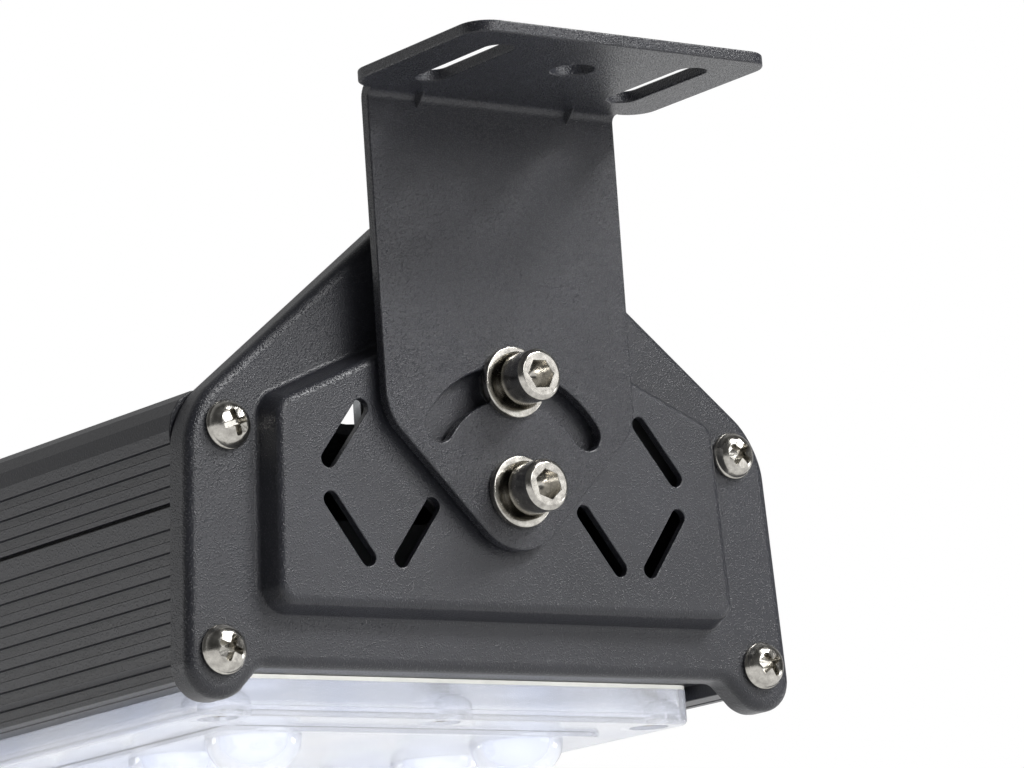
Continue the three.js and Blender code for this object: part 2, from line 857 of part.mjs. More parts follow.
function lensGeometry() {
  const inside = panelOutline(lensReach - lensWall, lensWall, lensRadius - lensWall);
  const tray = cut(solid(alongZ(panelOutline(lensReach, 0, lensRadius), [], -lensDrop, lensTop - seat)), [
    alongZ(inside, [], lensSheet - lensDrop, 0),
  ]);
  const optic = alongZ(
    panelOutline(opticReach, opticMargin, opticRadius),
    [],
    -lensDrop - opticStep,
    -lensDrop + seat,
  );
  const quarter = Array.from({ length: domeRings + 1 }, (_, k) => {
    const angle = ((Math.PI / 2) * k) / domeRings;
    return [domeRadius * Math.cos(angle), -domeRise * Math.sin(angle)];
  });
  quarter[domeRings][0] = 0;
  const domes = domePlaces.map(([x, y]) =>
    upright(turned([[0, opticStep], [domeRadius, opticStep], ...quarter], domeTurns)).translate(
      x,
      y,
      -lensDrop - opticStep,
    ),
  );
  const bosses = lensScrewPlaces.map(([x, y]) =>
    alongZ(circle(x, y, bossRadius, small), [], -lensDrop, lensTop - seat),
  );
  const holes = lensScrewPlaces.flatMap(([x, y]) => [
    alongZ(bore(x, y, lensScrewHole, screwSteps), [], -overrun, 0),
    alongZ(bore(x, y, counterbore, screwSteps), [], -overrun, lensHeadSeat - lensDrop),
  ]);
  const whole = [optic, ...domes, ...bosses].map(solid).reduce((sum, piece) => sum.add(piece), tray);
  return geometryOf(cut(whole, holes));
}

function gasketGeometry() {
  const outer = panelOutline(lensReach - seat, seat, lensRadius - seat);
  const inner = panelOutline(lensReach - gasketWidth, gasketWidth, lensRadius - gasketWidth);
  return alongZ(outer, [inner], lensTop, webUnder - seat);
}

const boardTop = webUnder - seat;
const boardUnder = boardTop - boardThickness;

function boardGeometry() {
  const boardReach = opticReach - boardInset;
  const base = alongZ(panelOutline(boardReach, boardMargin, opticRadius), [], boardUnder, boardTop);
  const half = emitterSide / 2;
  const emitters = domePlaces.map(([x, y]) =>
    alongZ(box(x - half, x + half, y - half, y + half), [], boardUnder - emitterHeight, boardUnder + seat),
  );
  return geometryOf(join([base, ...emitters]));
}

// A pan-head screw about Z, its head below or above z = 0.
function screwGeometry(headRadius, headHeight, shankRadius, shankLength, headSide) {
  const profile = [
    [0, headSide * headHeight],
    [headRadius / 2, headSide * headHeight],
    [headRadius, (headSide * headHeight) / 2],
    [headRadius, 0],
    [shankRadius, 0],
    [shankRadius, -headSide * shankLength],
    [0, -headSide * shankLength],
  ];
  return upright(turned(profile, screwSteps));
}

// Driver and its tray

const trayFloor = webTop + finRise + seat;

function trayGeometry() {
  const edge = toVectors([
    [-trayReach, trayFloor],
    [trayReach, trayFloor],
    [trayReach, trayFloor + trayLip],
    [trayReach - tabSheet, trayFloor + trayLip],
    [trayReach - tabSheet, trayFloor + tabSheet],
    [tabSheet - trayReach, trayFloor + tabSheet],
    [tabSheet - trayReach, trayFloor + trayLip],
    [-trayReach, trayFloor + trayLip],
  ]);
  const body = solid(alongY(edge, [], trayInset, trayEnd));
  const holes = [...trayScrewPlaces, ...driverScrewPlaces].map(([x, y]) =>
    alongZ(bore(x, y, innerScrewHole, screwSteps), [], webTop, 0),
  );
  return geometryOf(cut(body, holes));
}

const tabStart = trayInset + driverMargin;
const terminalStart = trayEnd - driverMargin - terminalLength;
const tabEnd = terminalStart - seat;
const driverFloor = trayFloor + tabSheet + seat;
const driverScrewPlaces = [
  [finPitch / 2, tabStart + tabLength / 2],
  [finPitch / 2, tabEnd - tabLength / 2],
];

function driverGeometry() {
  const block = rounded([
    [-driverReach, driverFloor],
    [driverReach, driverFloor],
    [driverReach, driverFloor + driverHeight, driverRadius],
    [-driverReach, driverFloor + driverHeight, driverRadius],
  ]);
  const tab = box(-tabReach, tabReach, tabStart, tabEnd);
  const holes = driverScrewPlaces.map(([x, y]) =>
    alongZ(bore(x, y, innerScrewHole, screwSteps), [], webTop, driverFloor + driverHeight),
  );
  return geometryOf(
    cut(
      join([
        alongY(block, [], tabStart + tabLength, tabEnd - tabLength),
        alongZ(tab, [], driverFloor, driverFloor + tabSheet),
      ]),
      holes,
    ),
  );
}

function terminalGeometry() {
  const body = alongY(
    box(-terminalReach, terminalReach, driverFloor, driverFloor + terminalHeight),
    [],
    terminalStart,
    terminalStart + terminalLength,
  );
  const bores = Array.from({ length: terminalWires }, (_, k) => {
    const x = (k - (terminalWires - 1) / 2) * ((2 * terminalReach) / terminalWires);
    return alongY(
      circle(x, driverFloor + terminalHeight / 2, terminalBore, small),
      [],
      0,
      terminalStart + terminalLength / 4,
    );
  });
  return geometryOf(cut(solid(body), bores));
}

// Cable gland, about Z with the roof at z = 0

const hexagon = (side) => circle(0, 0, side, 6);

function glandBodyGeometry() {
  const collar = slab(hexagon(glandSide), [], glandHex - seat).translate(0, 0, seat);
  const stem = upright(
    turned([
      [0, -glandTail],
      [glandStem, -glandTail],
      [glandStem, glandHex + glandNutHeight],
      [0, glandHex + glandNutHeight],
    ]),
  );
  const passage = alongZ(bore(0, 0, glandBore, small), [], -overrun, overrun);
  return geometryOf(cut(join([collar, stem]), [passage]));
}

const glandCapGeometry = () =>
  upright(
    turned([
      [glandStem + seat, glandHex + seat],
      [glandCapRadius, glandHex + seat],
      [glandCapRadius, glandHex + glandCapHeight / 2],
      [glandCapTop, glandHex + glandCapHeight],
      [glandThroat - seat, glandHex + glandCapHeight],
      [glandThroat - seat, glandHex + glandNutHeight + seat],
      [glandStem + seat, glandHex + glandNutHeight + seat],
    ]),
  );

const glandNutGeometry = () =>
  slab(hexagon(glandNutSide), [bore(0, 0, glandStem + seat)], glandNutHeight).translate(
    0,
    0,
    -coverWall - seat - glandNutHeight,
  );

// Assembly

// Everything that repeats at each end, with its flat face on y = 0 and looking towards -Y.
function endOf(side) {
  const end = new THREE.Group();
  end.add(part(side + "_end_plate", plateGeometry(), "powder"));
  end.add(part(side + "_bracket", bracketGeometry(), "powder"));
  end.add(part(side + "_nut_plate", nutPlateGeometry(), "zinc"));
  const corners = {
    upper_left: [-upperScrew[0], upperScrew[1]],
    upper_right: upperScrew,
    lower_left: [-lowerScrew[0], lowerScrew[1]],
    lower_right: lowerScrew,
  };
  for (const [corner, [x, z]] of Object.entries(corners)) {
    const screw = part(side + "_plate_screw_" + corner, panScrewGeometry(), "nickel");
    screw.position.set(x, 0, z);
    end.add(screw);
  }
  for (const [place, z] of Object.entries(boltPlaces)) {
    const name = side + "_" + place;
    const washer = ringGeometry(washerRadius, washerFront, washerFront + washerThickness);
    const pieces = [
      part(name + "_bolt", boltGeometry(), "nickel"),
      part(name + "_spring_washer", springWasherGeometry(), "nickel"),
      part(name + "_washer", washer, "nickel"),
      part(name + "_rivet_nut", rivetNutGeometry(), "zinc"),
    ];
    for (const piece of pieces) {
      piece.position.z = z;
      end.add(piece);
    }
  }
  return end;
}

const light = new THREE.Group();
const front = endOf("front");
const rear = endOf("rear");
rear.rotation.z = Math.PI;
rear.position.y = bodyLength;
light.add(front, rear);

light.add(part("heatsink_body", lowerBodyGeometry(), "anodised"));
light.add(part("top_cover", coverGeometry(), "anodised"));
light.add(part("driver_tray", trayGeometry(), "aluminium"));
light.add(part("driver", driverGeometry(), "driver"));

["front", "rear"].forEach((side, i) => {
  const panel = new THREE.Group();
  panel.position.y = lensPlaces[i];
  panel.add(part(side + "_led_board", boardGeometry(), "board"));
  panel.add(part(side + "_lens_gasket", gasketGeometry(), "silicone"));
  panel.add(part(side + "_lens", lensGeometry(), "clear"));
  lensScrewPlaces.forEach(([x, y], k) => {
    const shape = screwGeometry(lensHeadRadius, lensHeadHeight, lensShankRadius, lensShankLength, -1);
    const screw = part(side + "_lens_screw_" + (k + 1), shape, "nickel");
    screw.position.set(x, y, lensHeadSeat - lensDrop - seat);
    panel.add(screw);
  });
  light.add(panel);
});

const innerScrew = () =>
  screwGeometry(innerScrewHead, innerScrewHeight, innerScrewShank, innerScrewLength, 1);
trayScrewPlaces.forEach(([x, y], k) => {
  const screw = part("tray_screw_" + (k + 1), innerScrew(), "zinc");
  screw.position.set(x, y, trayFloor + tabSheet + seat);
  light.add(screw);
});
driverScrewPlaces.forEach(([x, y], k) => {
  const screw = part("driver_screw_" + (k + 1), innerScrew(), "zinc");
  screw.position.set(x, y, driverFloor + tabSheet + seat);
  light.add(screw);
});

light.add(part("terminal_block", terminalGeometry(), "nylon"));

const gland = new THREE.Group();
gland.add(part("gland_body", glandBodyGeometry(), "nylon"));
gland.add(part("gland_cap", glandCapGeometry(), "nylon"));
gland.add(part("gland_locknut", glandNutGeometry(), "nylon"));
gland.position.set(0, glandPlace, roofTop);
light.add(gland);

light.position.set(0, mountOut - (bracketFront - bendRadius), -flangeTop);

const whole = new THREE.Group();
whole.name = "high_bay_light";
whole.add(light);

export default whole;
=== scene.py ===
import json
import math

import bmesh
import bpy
from mathutils import Matrix, Vector


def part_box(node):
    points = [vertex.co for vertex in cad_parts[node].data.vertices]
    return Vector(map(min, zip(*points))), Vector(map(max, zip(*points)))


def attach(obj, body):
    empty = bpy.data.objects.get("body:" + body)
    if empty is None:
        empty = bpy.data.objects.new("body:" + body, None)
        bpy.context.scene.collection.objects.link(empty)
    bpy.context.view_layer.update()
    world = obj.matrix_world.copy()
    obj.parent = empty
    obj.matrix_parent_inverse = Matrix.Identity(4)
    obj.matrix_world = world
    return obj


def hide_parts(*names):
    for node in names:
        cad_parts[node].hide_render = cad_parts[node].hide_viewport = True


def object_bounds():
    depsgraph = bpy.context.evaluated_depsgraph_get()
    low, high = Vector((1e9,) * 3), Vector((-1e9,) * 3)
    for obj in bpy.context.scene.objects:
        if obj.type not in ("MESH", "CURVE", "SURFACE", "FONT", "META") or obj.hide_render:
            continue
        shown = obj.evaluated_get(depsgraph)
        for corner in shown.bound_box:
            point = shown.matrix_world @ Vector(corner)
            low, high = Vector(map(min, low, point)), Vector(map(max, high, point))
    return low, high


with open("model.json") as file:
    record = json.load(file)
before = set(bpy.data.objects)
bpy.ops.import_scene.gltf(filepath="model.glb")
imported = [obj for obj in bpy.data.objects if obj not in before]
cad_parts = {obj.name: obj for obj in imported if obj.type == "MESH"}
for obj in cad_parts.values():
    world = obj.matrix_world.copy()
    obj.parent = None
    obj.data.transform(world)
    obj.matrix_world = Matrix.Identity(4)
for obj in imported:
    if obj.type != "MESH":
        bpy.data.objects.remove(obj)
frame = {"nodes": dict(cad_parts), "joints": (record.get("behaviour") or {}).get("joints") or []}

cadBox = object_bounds()
scene = bpy.context.scene
mm = 0.001

# Sizes of slow patterns that finishes share, in mm
filmDrift = 30
stainSize = 1.6

# Each end of the light is modelled once, about the pivot bolt, and placed at both ends
pivots = {joint["name"]: Vector(joint["pos_m"]) for joint in frame["joints"]}
endPlaces = {
    "front": Matrix.Translation(pivots["housing_tilt"]),
    "rear": Matrix.Translation(pivots["rear_bracket_tilt"]) @ Matrix.Rotation(math.pi, 4, "Z"),
}


# Colours are written as sRGB hex and turned to linear here
def linearColour(hexText):
    channels = [int(hexText[i:i + 2], 16) / 255 for i in (1, 3, 5)]
    return [c / 12.92 if c <= 0.04045 else ((c + 0.055) / 1.055) ** 2.4 for c in channels] + [1]


# Adds one node. Settings go by socket name or number, or by the name of one of the node's own options
def addNode(tree, kind, settings=None, links=None):
    node = tree.nodes.new(kind)
    for name, value in (settings or {}).items():
        if isinstance(name, int) or name in node.inputs:
            node.inputs[name].default_value = value
        else:
            setattr(node, name, value)
    for name, source in (links or {}).items():
        tree.links.new(source, node.inputs[name])
    return node


def newMaterial(name, shaderSettings):
    material = bpy.data.materials.new(name)
    material.use_nodes = True
    tree = material.node_tree
    tree.nodes.clear()
    shader = addNode(tree, "ShaderNodeBsdfPrincipled", shaderSettings)
    addNode(tree, "ShaderNodeOutputMaterial", links={"Surface": shader.outputs["BSDF"]})
    place = addNode(tree, "ShaderNodeTexCoord").outputs["Object"]
    return material, tree, shader, place


# Wires a colour between two tones, a gloss and a relief into the shader. The tones follow one pattern and
# the relief another; toneEdge is where in the pattern the darker tone ends
def dressShader(tree, shader, settings, pattern, gloss, height, toneEdge=0.3):
    tone = addNode(tree, "ShaderNodeValToRGB", links={"Fac": pattern})
    dark, light = tone.color_ramp.elements[0], tone.color_ramp.elements[1]
    dark.position = toneEdge
    dark.color = linearColour(settings["dark"])
    light.position = 1 - toneEdge
    light.color = linearColour(settings["light"])
    bump = addNode(tree, "ShaderNodeBump", {
        "Strength": settings["bump"], "Distance": settings["relief"] * mm,
    }, {"Height": height})
    tree.links.new(tone.outputs["Color"], shader.inputs["Base Color"])
    tree.links.new(gloss.outputs["Result"], shader.inputs["Roughness"])
    tree.links.new(bump.outputs["Normal"], shader.inputs["Normal"])
    return tone


# Fine sand-texture powder coat: baked polyester with hard grains that catch the light one by one
def powderCoat(name, settings):
    material, tree, shader, place = newMaterial(name, {
        "Metallic": 0, "IOR": 1.5, "Specular IOR Level": settings["specular"],
    })
    grain = addNode(tree, "ShaderNodeTexNoise", {
        "Scale": 1 / (settings["grain"] * mm), "Detail": 2, "Roughness": 0.6,
    }, {"Vector": place})
    grit = addNode(tree, "ShaderNodeTexVoronoi", {
        "feature": "F1", "Scale": 1 / (settings["grit"] * mm), "Randomness": 1,
    }, {"Vector": place})
    peaks = addNode(tree, "ShaderNodeMapRange", {
        "From Min": 0.05, "From Max": 0.45, "To Min": 1, "To Max": 0,
    }, {"Value": grit.outputs["Distance"]})
    height = addNode(tree, "ShaderNodeMath", {"operation": "ADD"}, {
        0: grain.outputs["Fac"], 1: peaks.outputs["Result"],
    })
    # Slow drifts in film thickness
    drift = addNode(tree, "ShaderNodeTexNoise", {
        "Scale": 1 / (filmDrift * mm), "Detail": 3, "Roughness": 0.5,
    }, {"Vector": place})
    gloss = addNode(tree, "ShaderNodeMapRange", {
        "From Min": 0.3, "From Max": 0.7,
        "To Min": settings["roughness"] - 0.05, "To Max": settings["roughness"] + 0.05,
    }, {"Value": grain.outputs["Fac"]})
    tone = dressShader(tree, shader, settings, drift.outputs["Fac"], gloss, height.outputs[0])
    # Painted glints: a paler colour on the highest grains, where they catch the light
    glintTone = addNode(tree, "ShaderNodeMapRange", {
        "From Min": 0.62, "From Max": 0.8, "To Min": 0, "To Max": settings["glintAmount"],
    }, {"Value": grain.outputs["Fac"]})
    glintSpeckle = addNode(tree, "ShaderNodeMix", {
        "data_type": "RGBA", "B": linearColour(settings["glintTone"]),
    }, {0: glintTone.outputs["Result"], "A": tone.outputs["Color"]})
    tree.links.new(glintSpeckle.outputs[2], shader.inputs["Base Color"])
    return material


# Metals: steel or aluminium, plain or under a thin plate, with fine turning, rolling or tumbling marks
def metalSurface(name, settings):
    material, tree, shader, place = newMaterial(name, {"Metallic": 1})
    stain = addNode(tree, "ShaderNodeTexNoise", {
        "Scale": 1 / (stainSize * mm), "Detail": 4, "Roughness": 0.6,
    }, {"Vector": place})
    marks = addNode(tree, "ShaderNodeTexNoise", {
        "Scale": 1 / (settings["marks"] * mm), "Detail": 3, "Roughness": 0.7,
    }, {"Vector": place})
    gloss = addNode(tree, "ShaderNodeMapRange", {
        "From Min": 0.3, "From Max": 0.7,
        "To Min": settings["roughness"] - 0.06, "To Max": settings["roughness"] + 0.08,
    }, {"Value": stain.outputs["Fac"]})
    dressShader(tree, shader, settings, stain.outputs["Fac"], gloss, marks.outputs["Fac"], toneEdge=0.32)
    return material


# Moulded and printed surfaces: an even colour with a faint mottle and a fine moulded skin
def mouldedSurface(name, settings):
    material, tree, shader, place = newMaterial(name, {
        "Metallic": settings.get("metallic", 0), "IOR": settings.get("ior", 1.5),
    })
    mottle = addNode(tree, "ShaderNodeTexNoise", {
        "Scale": 1 / (settings["mottle"] * mm), "Detail": 4, "Roughness": 0.55,
    }, {"Vector": place})
    skin = addNode(tree, "ShaderNodeTexNoise", {
        "Scale": 1 / (settings["skin"] * mm), "Detail": 2, "Roughness": 0.6,
    }, {"Vector": place})
    gloss = addNode(tree, "ShaderNodeMapRange", {
        "From Min": 0.3, "From Max": 0.7,
        "To Min": settings["roughness"] - 0.05, "To Max": settings["roughness"] + 0.05,
    }, {"Value": skin.outputs["Fac"]})
    dressShader(tree, shader, settings, mottle.outputs["Fac"], gloss, skin.outputs["Fac"])
    return material


# Clear polycarbonate: injection moulded with a fine spark finish that hazes the tray, polished at the domes.
# Its milk is the share of light that scatters in the plastic
def clearPolycarbonate(name, settings):
    material, tree, shader, place = newMaterial(name, {
        "Metallic": 0, "IOR": 1.585, "Transmission Weight": 1 - settings["milk"],
    })
    flow = addNode(tree, "ShaderNodeTexNoise", {
        "Scale": 1 / (settings["flow"] * mm), "Detail": 2, "Roughness": 0.4,
    }, {"Vector": place})
    height = addNode(tree, "ShaderNodeSeparateXYZ", links={0: place})
    gloss = addNode(tree, "ShaderNodeMapRange", {
        "From Min": settings["domesFrom"] - 0.5 * mm, "From Max": settings["domesFrom"],
        "To Min": settings["polish"], "To Max": settings["haze"],
    }, {"Value": height.outputs["Z"]})
    dressShader(tree, shader, settings, flow.outputs["Fac"], gloss, flow.outputs["Fac"])
    return material


# Pattern sizes and relief in mm. Real grit is nearer 0.1 mm, drawn coarser so that it shows at 0.2 mm a pixel.
# The slot names are the record's: the end plates are pressed sheet, in spite of theirs
finishes = {
    "black_cast_plate": powderCoat("sandPowderCoatPlate", {
        "grain": 0.33, "grit": 0.45, "dark": "#222328", "light": "#2a2b31", "glintTone": "#4a4b50",
        "glintAmount": 0.5, "roughness": 0.33, "specular": 0.5, "bump": 1, "relief": 0.08,
    }),
    "black_bracket_coat": powderCoat("sandPowderCoatSheet", {
        "grain": 0.29, "grit": 0.38, "dark": "#222328", "light": "#2a2b31", "glintTone": "#4a4b50",
        "glintAmount": 0.5, "roughness": 0.27, "specular": 0.5, "bump": 1, "relief": 0.085,
    }),
    "black_extrusion": powderCoat("sandPowderCoatExtrusion", {
        "grain": 0.45, "grit": 0.6, "dark": "#1a1b21", "light": "#222329", "glintTone": "#3c3d44",
        "glintAmount": 0.4, "roughness": 0.38, "specular": 0.5, "bump": 0.9, "relief": 0.035,
    }),
    "nickel_steel": metalSurface("nickelPlatedSteel", {
        "dark": "#9f9c96", "light": "#cac7c0", "roughness": 0.2, "marks": 0.35, "bump": 0.2, "relief": 0.01,
    }),
    "zinc_steel": metalSurface("zincPlatedSteel", {
        "dark": "#8d9093", "light": "#bcbfc2", "roughness": 0.36, "marks": 0.3, "bump": 0.35, "relief": 0.015,
    }),
    "bare_aluminium": metalSurface("millAluminiumSheet", {
        "dark": "#a2a4a6", "light": "#c2c4c6", "roughness": 0.42, "marks": 0.5, "bump": 0.25, "relief": 0.01,
    }),
    "clear_lens": clearPolycarbonate("clearPolycarbonate", {
        "flow": 18, "dark": "#ecf0fb", "light": "#f7f9ff", "polish": 0.03, "haze": 0.2, "milk": 0.25,
        "domesFrom": pivots["housing_tilt"].z - 42.5 * mm, "bump": 0.15, "relief": 0.05,
    }),
    "silicone": mouldedSurface("siliconeRubberSeal", {
        "dark": "#d6d6d2", "light": "#e8e8e4", "mottle": 9, "skin": 0.4, "roughness": 0.6,
        "bump": 0.3, "relief": 0.02, "ior": 1.41,
    }),
    "white_board": mouldedSurface("whiteSolderMask", {
        "dark": "#e4e5e3", "light": "#f2f3f1", "mottle": 14, "skin": 0.5, "roughness": 0.42,
        "bump": 0.2, "relief": 0.01,
    }),
    "driver_case": mouldedSurface("paintedDriverCase", {
        "dark": "#8b8f93", "light": "#9da1a4", "mottle": 20, "skin": 0.6, "roughness": 0.5,
        "bump": 0.3, "relief": 0.02, "metallic": 0.6,
    }),
    "black_nylon": mouldedSurface("blackNylon", {
        "dark": "#18191a", "light": "#222324", "mottle": 6, "skin": 0.35, "roughness": 0.5,
        "bump": 0.4, "relief": 0.02, "ior": 1.53,
    }),
}
print("finishes mixed")

for name, node in frame["nodes"].items():
    slotName = node.data.materials[0].name.split(".")[0] if node.data.materials else ""
    node.data.materials.clear()
    node.data.materials.append(finishes.get(slotName, finishes["black_extrusion"]))


# Sizes of the pieces are in mm, and turned to metres where a mesh is made
faceOut = Matrix.Rotation(math.pi / 2, 4, "X")
faceDown = Matrix.Rotation(math.pi, 4, "X")


def moved(x, y, z):
    return Matrix.Translation((x * mm, y * mm, z * mm))


def turned(degrees):
    return Matrix.Rotation(math.radians(degrees), 4, "Z")


# A flat face from [across, along, radius] corners, each rounded by a vertex bevel
def roundedFace(bm, corners, toSpace, segments=8):
    flat = [Vector(corner[:2]) for corner in corners]
    before = set(bm.faces)
    points = [bm.verts.new(toSpace(*spot)) for spot in flat]
    bm.faces.new(points)
    for i, point in enumerate(points):
        radius = corners[i][2]
        if not radius:
            continue
        back = flat[i - 1] - flat[i]
        onward = flat[(i + 1) % len(flat)] - flat[i]
        reach = radius / math.tan(back.angle(onward) / 2)
        bmesh.ops.bevel(bm, geom=[point], offset=reach * mm, offset_type="OFFSET", segments=segments,
                        profile=0.5, affect="VERTICES", clamp_overlap=False, material=-1)
    return next(face for face in bm.faces if face not in before)


def mirrored(rightSide):
    return rightSide + [[-corner[0], *corner[1:]] for corner in reversed(rightSide)]


def rectangle(reach, low, high, corner):
    return [[-reach, low, corner], [reach, low, corner], [reach, high, corner], [-reach, high, corner]]


# Corners of a slot between the middles of its round ends, which stop just short of full half circles
def slotCorners(start, end, width):
    start, end = Vector(start), Vector(end)
    along = (end - start).normalized()
    side = Vector((-along.y, along.x)) * width / 2
    tip = along * width / 2
    spots = [start - tip - side, end + tip - side, end + tip + side, start - tip + side]
    return [[spot.x, spot.y, width / 2 * 0.98] for spot in spots]


# Insets a face step by step. Each step is how far in, and how far out along its normal.
# Gives the free outer edges of the first ring
def stepFace(bm, face, steps):
    outer = None
    for inward, outward in steps:
        made = bmesh.ops.inset_region(bm, faces=[face], thickness=inward * mm, depth=outward * mm,
                                      use_even_offset=True, use_boundary=True)["faces"]
        for side in made:
            side.smooth = bool(outward)
        outer = outer or [e for side in made for e in side.edges if len(e.link_faces) == 1]
    return outer


# The steps of a rounded edge that turns between two slopes, in degrees from the flat
def roundSteps(radius, fromSlope, toSlope, count):
    steps = []
    for k in range(count):
        a, b = (math.radians(fromSlope + (toSlope - fromSlope) * (k + i) / count) for i in (0, 1))
        turn = 1 if toSlope > fromSlope else -1
        steps.append((turn * radius * (math.sin(b) - math.sin(a)), turn * radius * (math.cos(a) - math.cos(b))))
    return steps


# Takes the face away and gives its edges, to be filled round holes
def rimOf(bm, face):
    edges = list(face.edges)
    bmesh.ops.delete(bm, geom=[face], context="FACES_ONLY")
    return edges


# Opens a face as a hole: a narrow flat ring stays round it, and the ring's outer edges are given
def openHole(bm, face, ring):
    outer = stepFace(bm, face, [(ring, 0)])
    bmesh.ops.delete(bm, geom=[face], context="FACES_ONLY")
    return outer


# Fills a flat area round its holes, and keeps it flat in the shading
def fillBetween(bm, edges):
    made = bmesh.ops.triangle_fill(bm, use_beauty=True, use_dissolve=False, edges=edges)["geom"]
    for face in (g for g in made if isinstance(g, bmesh.types.BMFace)):
        face.smooth = False


def discFace(bm, radius, matrix, segments):
    made = bmesh.ops.create_circle(bm, cap_ends=True, segments=segments, radius=radius * mm, matrix=matrix)
    return made["verts"][0].link_faces[0]


def roundHole(bm, radius, matrix, ring):
    return openHole(bm, discFace(bm, radius + ring, matrix, 40), ring)


# Pulls a loop of edges out again, scaled about the origin and shifted
def pullLoop(bm, edges, scale=(1, 1, 1), shift=(0, 0, 0)):
    made = bmesh.ops.extrude_edge_only(bm, edges=edges)["geom"]
    points = [g for g in made if isinstance(g, bmesh.types.BMVert)]
    known = set(points)
    for side in {face for point in points for face in point.link_faces}:
        side.smooth = True
    bmesh.ops.scale(bm, vec=scale, verts=points)
    bmesh.ops.translate(bm, vec=shift, verts=points)
    return [e for e in bm.edges if e.verts[0] in known and e.verts[1] in known]


# Pulls a round loop about Z through [radius, height] rows, and gives its last edges
def pullRings(bm, edges, radius, rows):
    for wide, height in rows:
        climb = height * mm - edges[0].verts[0].co.z
        edges = pullLoop(bm, edges, (wide / radius, wide / radius, 1), (0, 0, climb))
        radius = wide
    return edges


# A ring of edges in the XY plane
def ringEdges(bm, radius, height, steps, centre=(0, 0)):
    made = bmesh.ops.create_circle(bm, cap_ends=False, segments=steps, radius=radius * mm,
                                   matrix=moved(*centre, height))["verts"]
    known = set(made)
    return [e for e in bm.edges if e.verts[0] in known and e.verts[1] in known]


# A turned shape about Z from [radius, height] points
def turnedShape(bm, profile, steps):
    points = [bm.verts.new((radius * mm, 0, height * mm)) for radius, height in profile]
    edges = [bm.edges.new(pair) for pair in zip(points, points[1:])]
    bmesh.ops.spin(bm, geom=points + edges, cent=(0, 0, 0), axis=(0, 0, 1), angle=2 * math.pi,
                   steps=steps, use_merge=True, use_duplicate=False)
    for face in bm.faces:
        face.smooth = True


mergeWithin = 0.004 * mm


# Merges, faces outwards and puts a copy of the mesh on the scene as a piece of the light. For an open sheet,
# outward is the way that most of it faces
def finishPiece(bm, name, body, slotName, nodes, place=None, outward=None, modifiers=()):
    bm = bm.copy()
    bmesh.ops.remove_doubles(bm, verts=bm.verts, dist=mergeWithin)
    bmesh.ops.recalc_face_normals(bm, faces=bm.faces)
    if outward and sum(face.normal.dot(Vector(outward)) * face.calc_area() for face in bm.faces) < 0:
        bmesh.ops.reverse_faces(bm, faces=bm.faces)
    bmesh.ops.transform(bm, matrix=place or Matrix.Identity(4), verts=bm.verts)
    mesh = bpy.data.meshes.new(name)
    bm.to_mesh(mesh)
    bm.free()
    mesh.materials.append(finishes[slotName])
    piece = bpy.data.objects.new(name, mesh)
    scene.collection.objects.link(piece)
    for kind, settings in modifiers:
        modifier = piece.modifiers.new(kind.lower(), kind)
        for key, value in settings.items():
            setattr(modifier, key, value)
    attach(piece, body)
    if nodes:
        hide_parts(*nodes)


def thickened(sheet):
    return ("SOLIDIFY", {"thickness": sheet * mm, "offset": -1})


def softEdges(width, segments=2, angle=40):
    return ("BEVEL", {"width": width * mm, "segments": segments, "limit_method": "ANGLE",
                      "angle_limit": math.radians(angle), "use_clamp_overlap": False})


evenShading = ("WEIGHTED_NORMAL", {"mode": "FACE_AREA", "weight": 50, "keep_sharp": True})


# Camera: lens in mm, place in metres and turn in degrees, as fitted to the photo
cameraFit = {
    "lens": 172.69, "place": (-0.569757, -0.752950, -0.242972),
    "turn": (100.89049, 3.86742, -35.90979),
}
cameraData = bpy.data.cameras.new("photoCamera")
cameraData.sensor_width = 36
cameraData.lens = cameraFit["lens"]
cameraData.clip_end = 20
camera = bpy.data.objects.new("photoCamera", cameraData)
camera.location = cameraFit["place"]
camera.rotation_euler = [math.radians(a) for a in cameraFit["turn"]]
scene.collection.objects.link(camera)
scene.camera = camera
print("camera set")


# End plate: pressed sheet with a rounded rim and a raised panel
endPlate = {
    "corners": [[56.6, -34.6, 3.4], [62.8, -40.8, 6.76], [73.7, -40.8, 6.76], [70.4, 15.3, 17],
                [19.3, 56.7, 8]],
    "rim": 2.2, "depth": 6.5, "sheet": 1.8,
    "panelCorners": [[57.6, -25.4, 6], [55.4, 18.2, 6], [16, 35.2, 6]],
    "panelFoot": 1.1, "panelSlope": 72, "panelRim": 1.9, "panelRise": 5.6,
    "slots": [[[34.1, 16], [42.3, 5.4]], [[42.3, -2.6], [34.4, -13.6]], [[18.5, -2.8], [26.6, -13.6]]],
    "slotWidth": 3.4, "boltHoles": [0, 22], "boltHole": 4.6,
    "screws": [[61.8, 12], [65.6, -31.6]], "screwHole": 2.4, "edge": 0.2, "ring": 0.5,
}


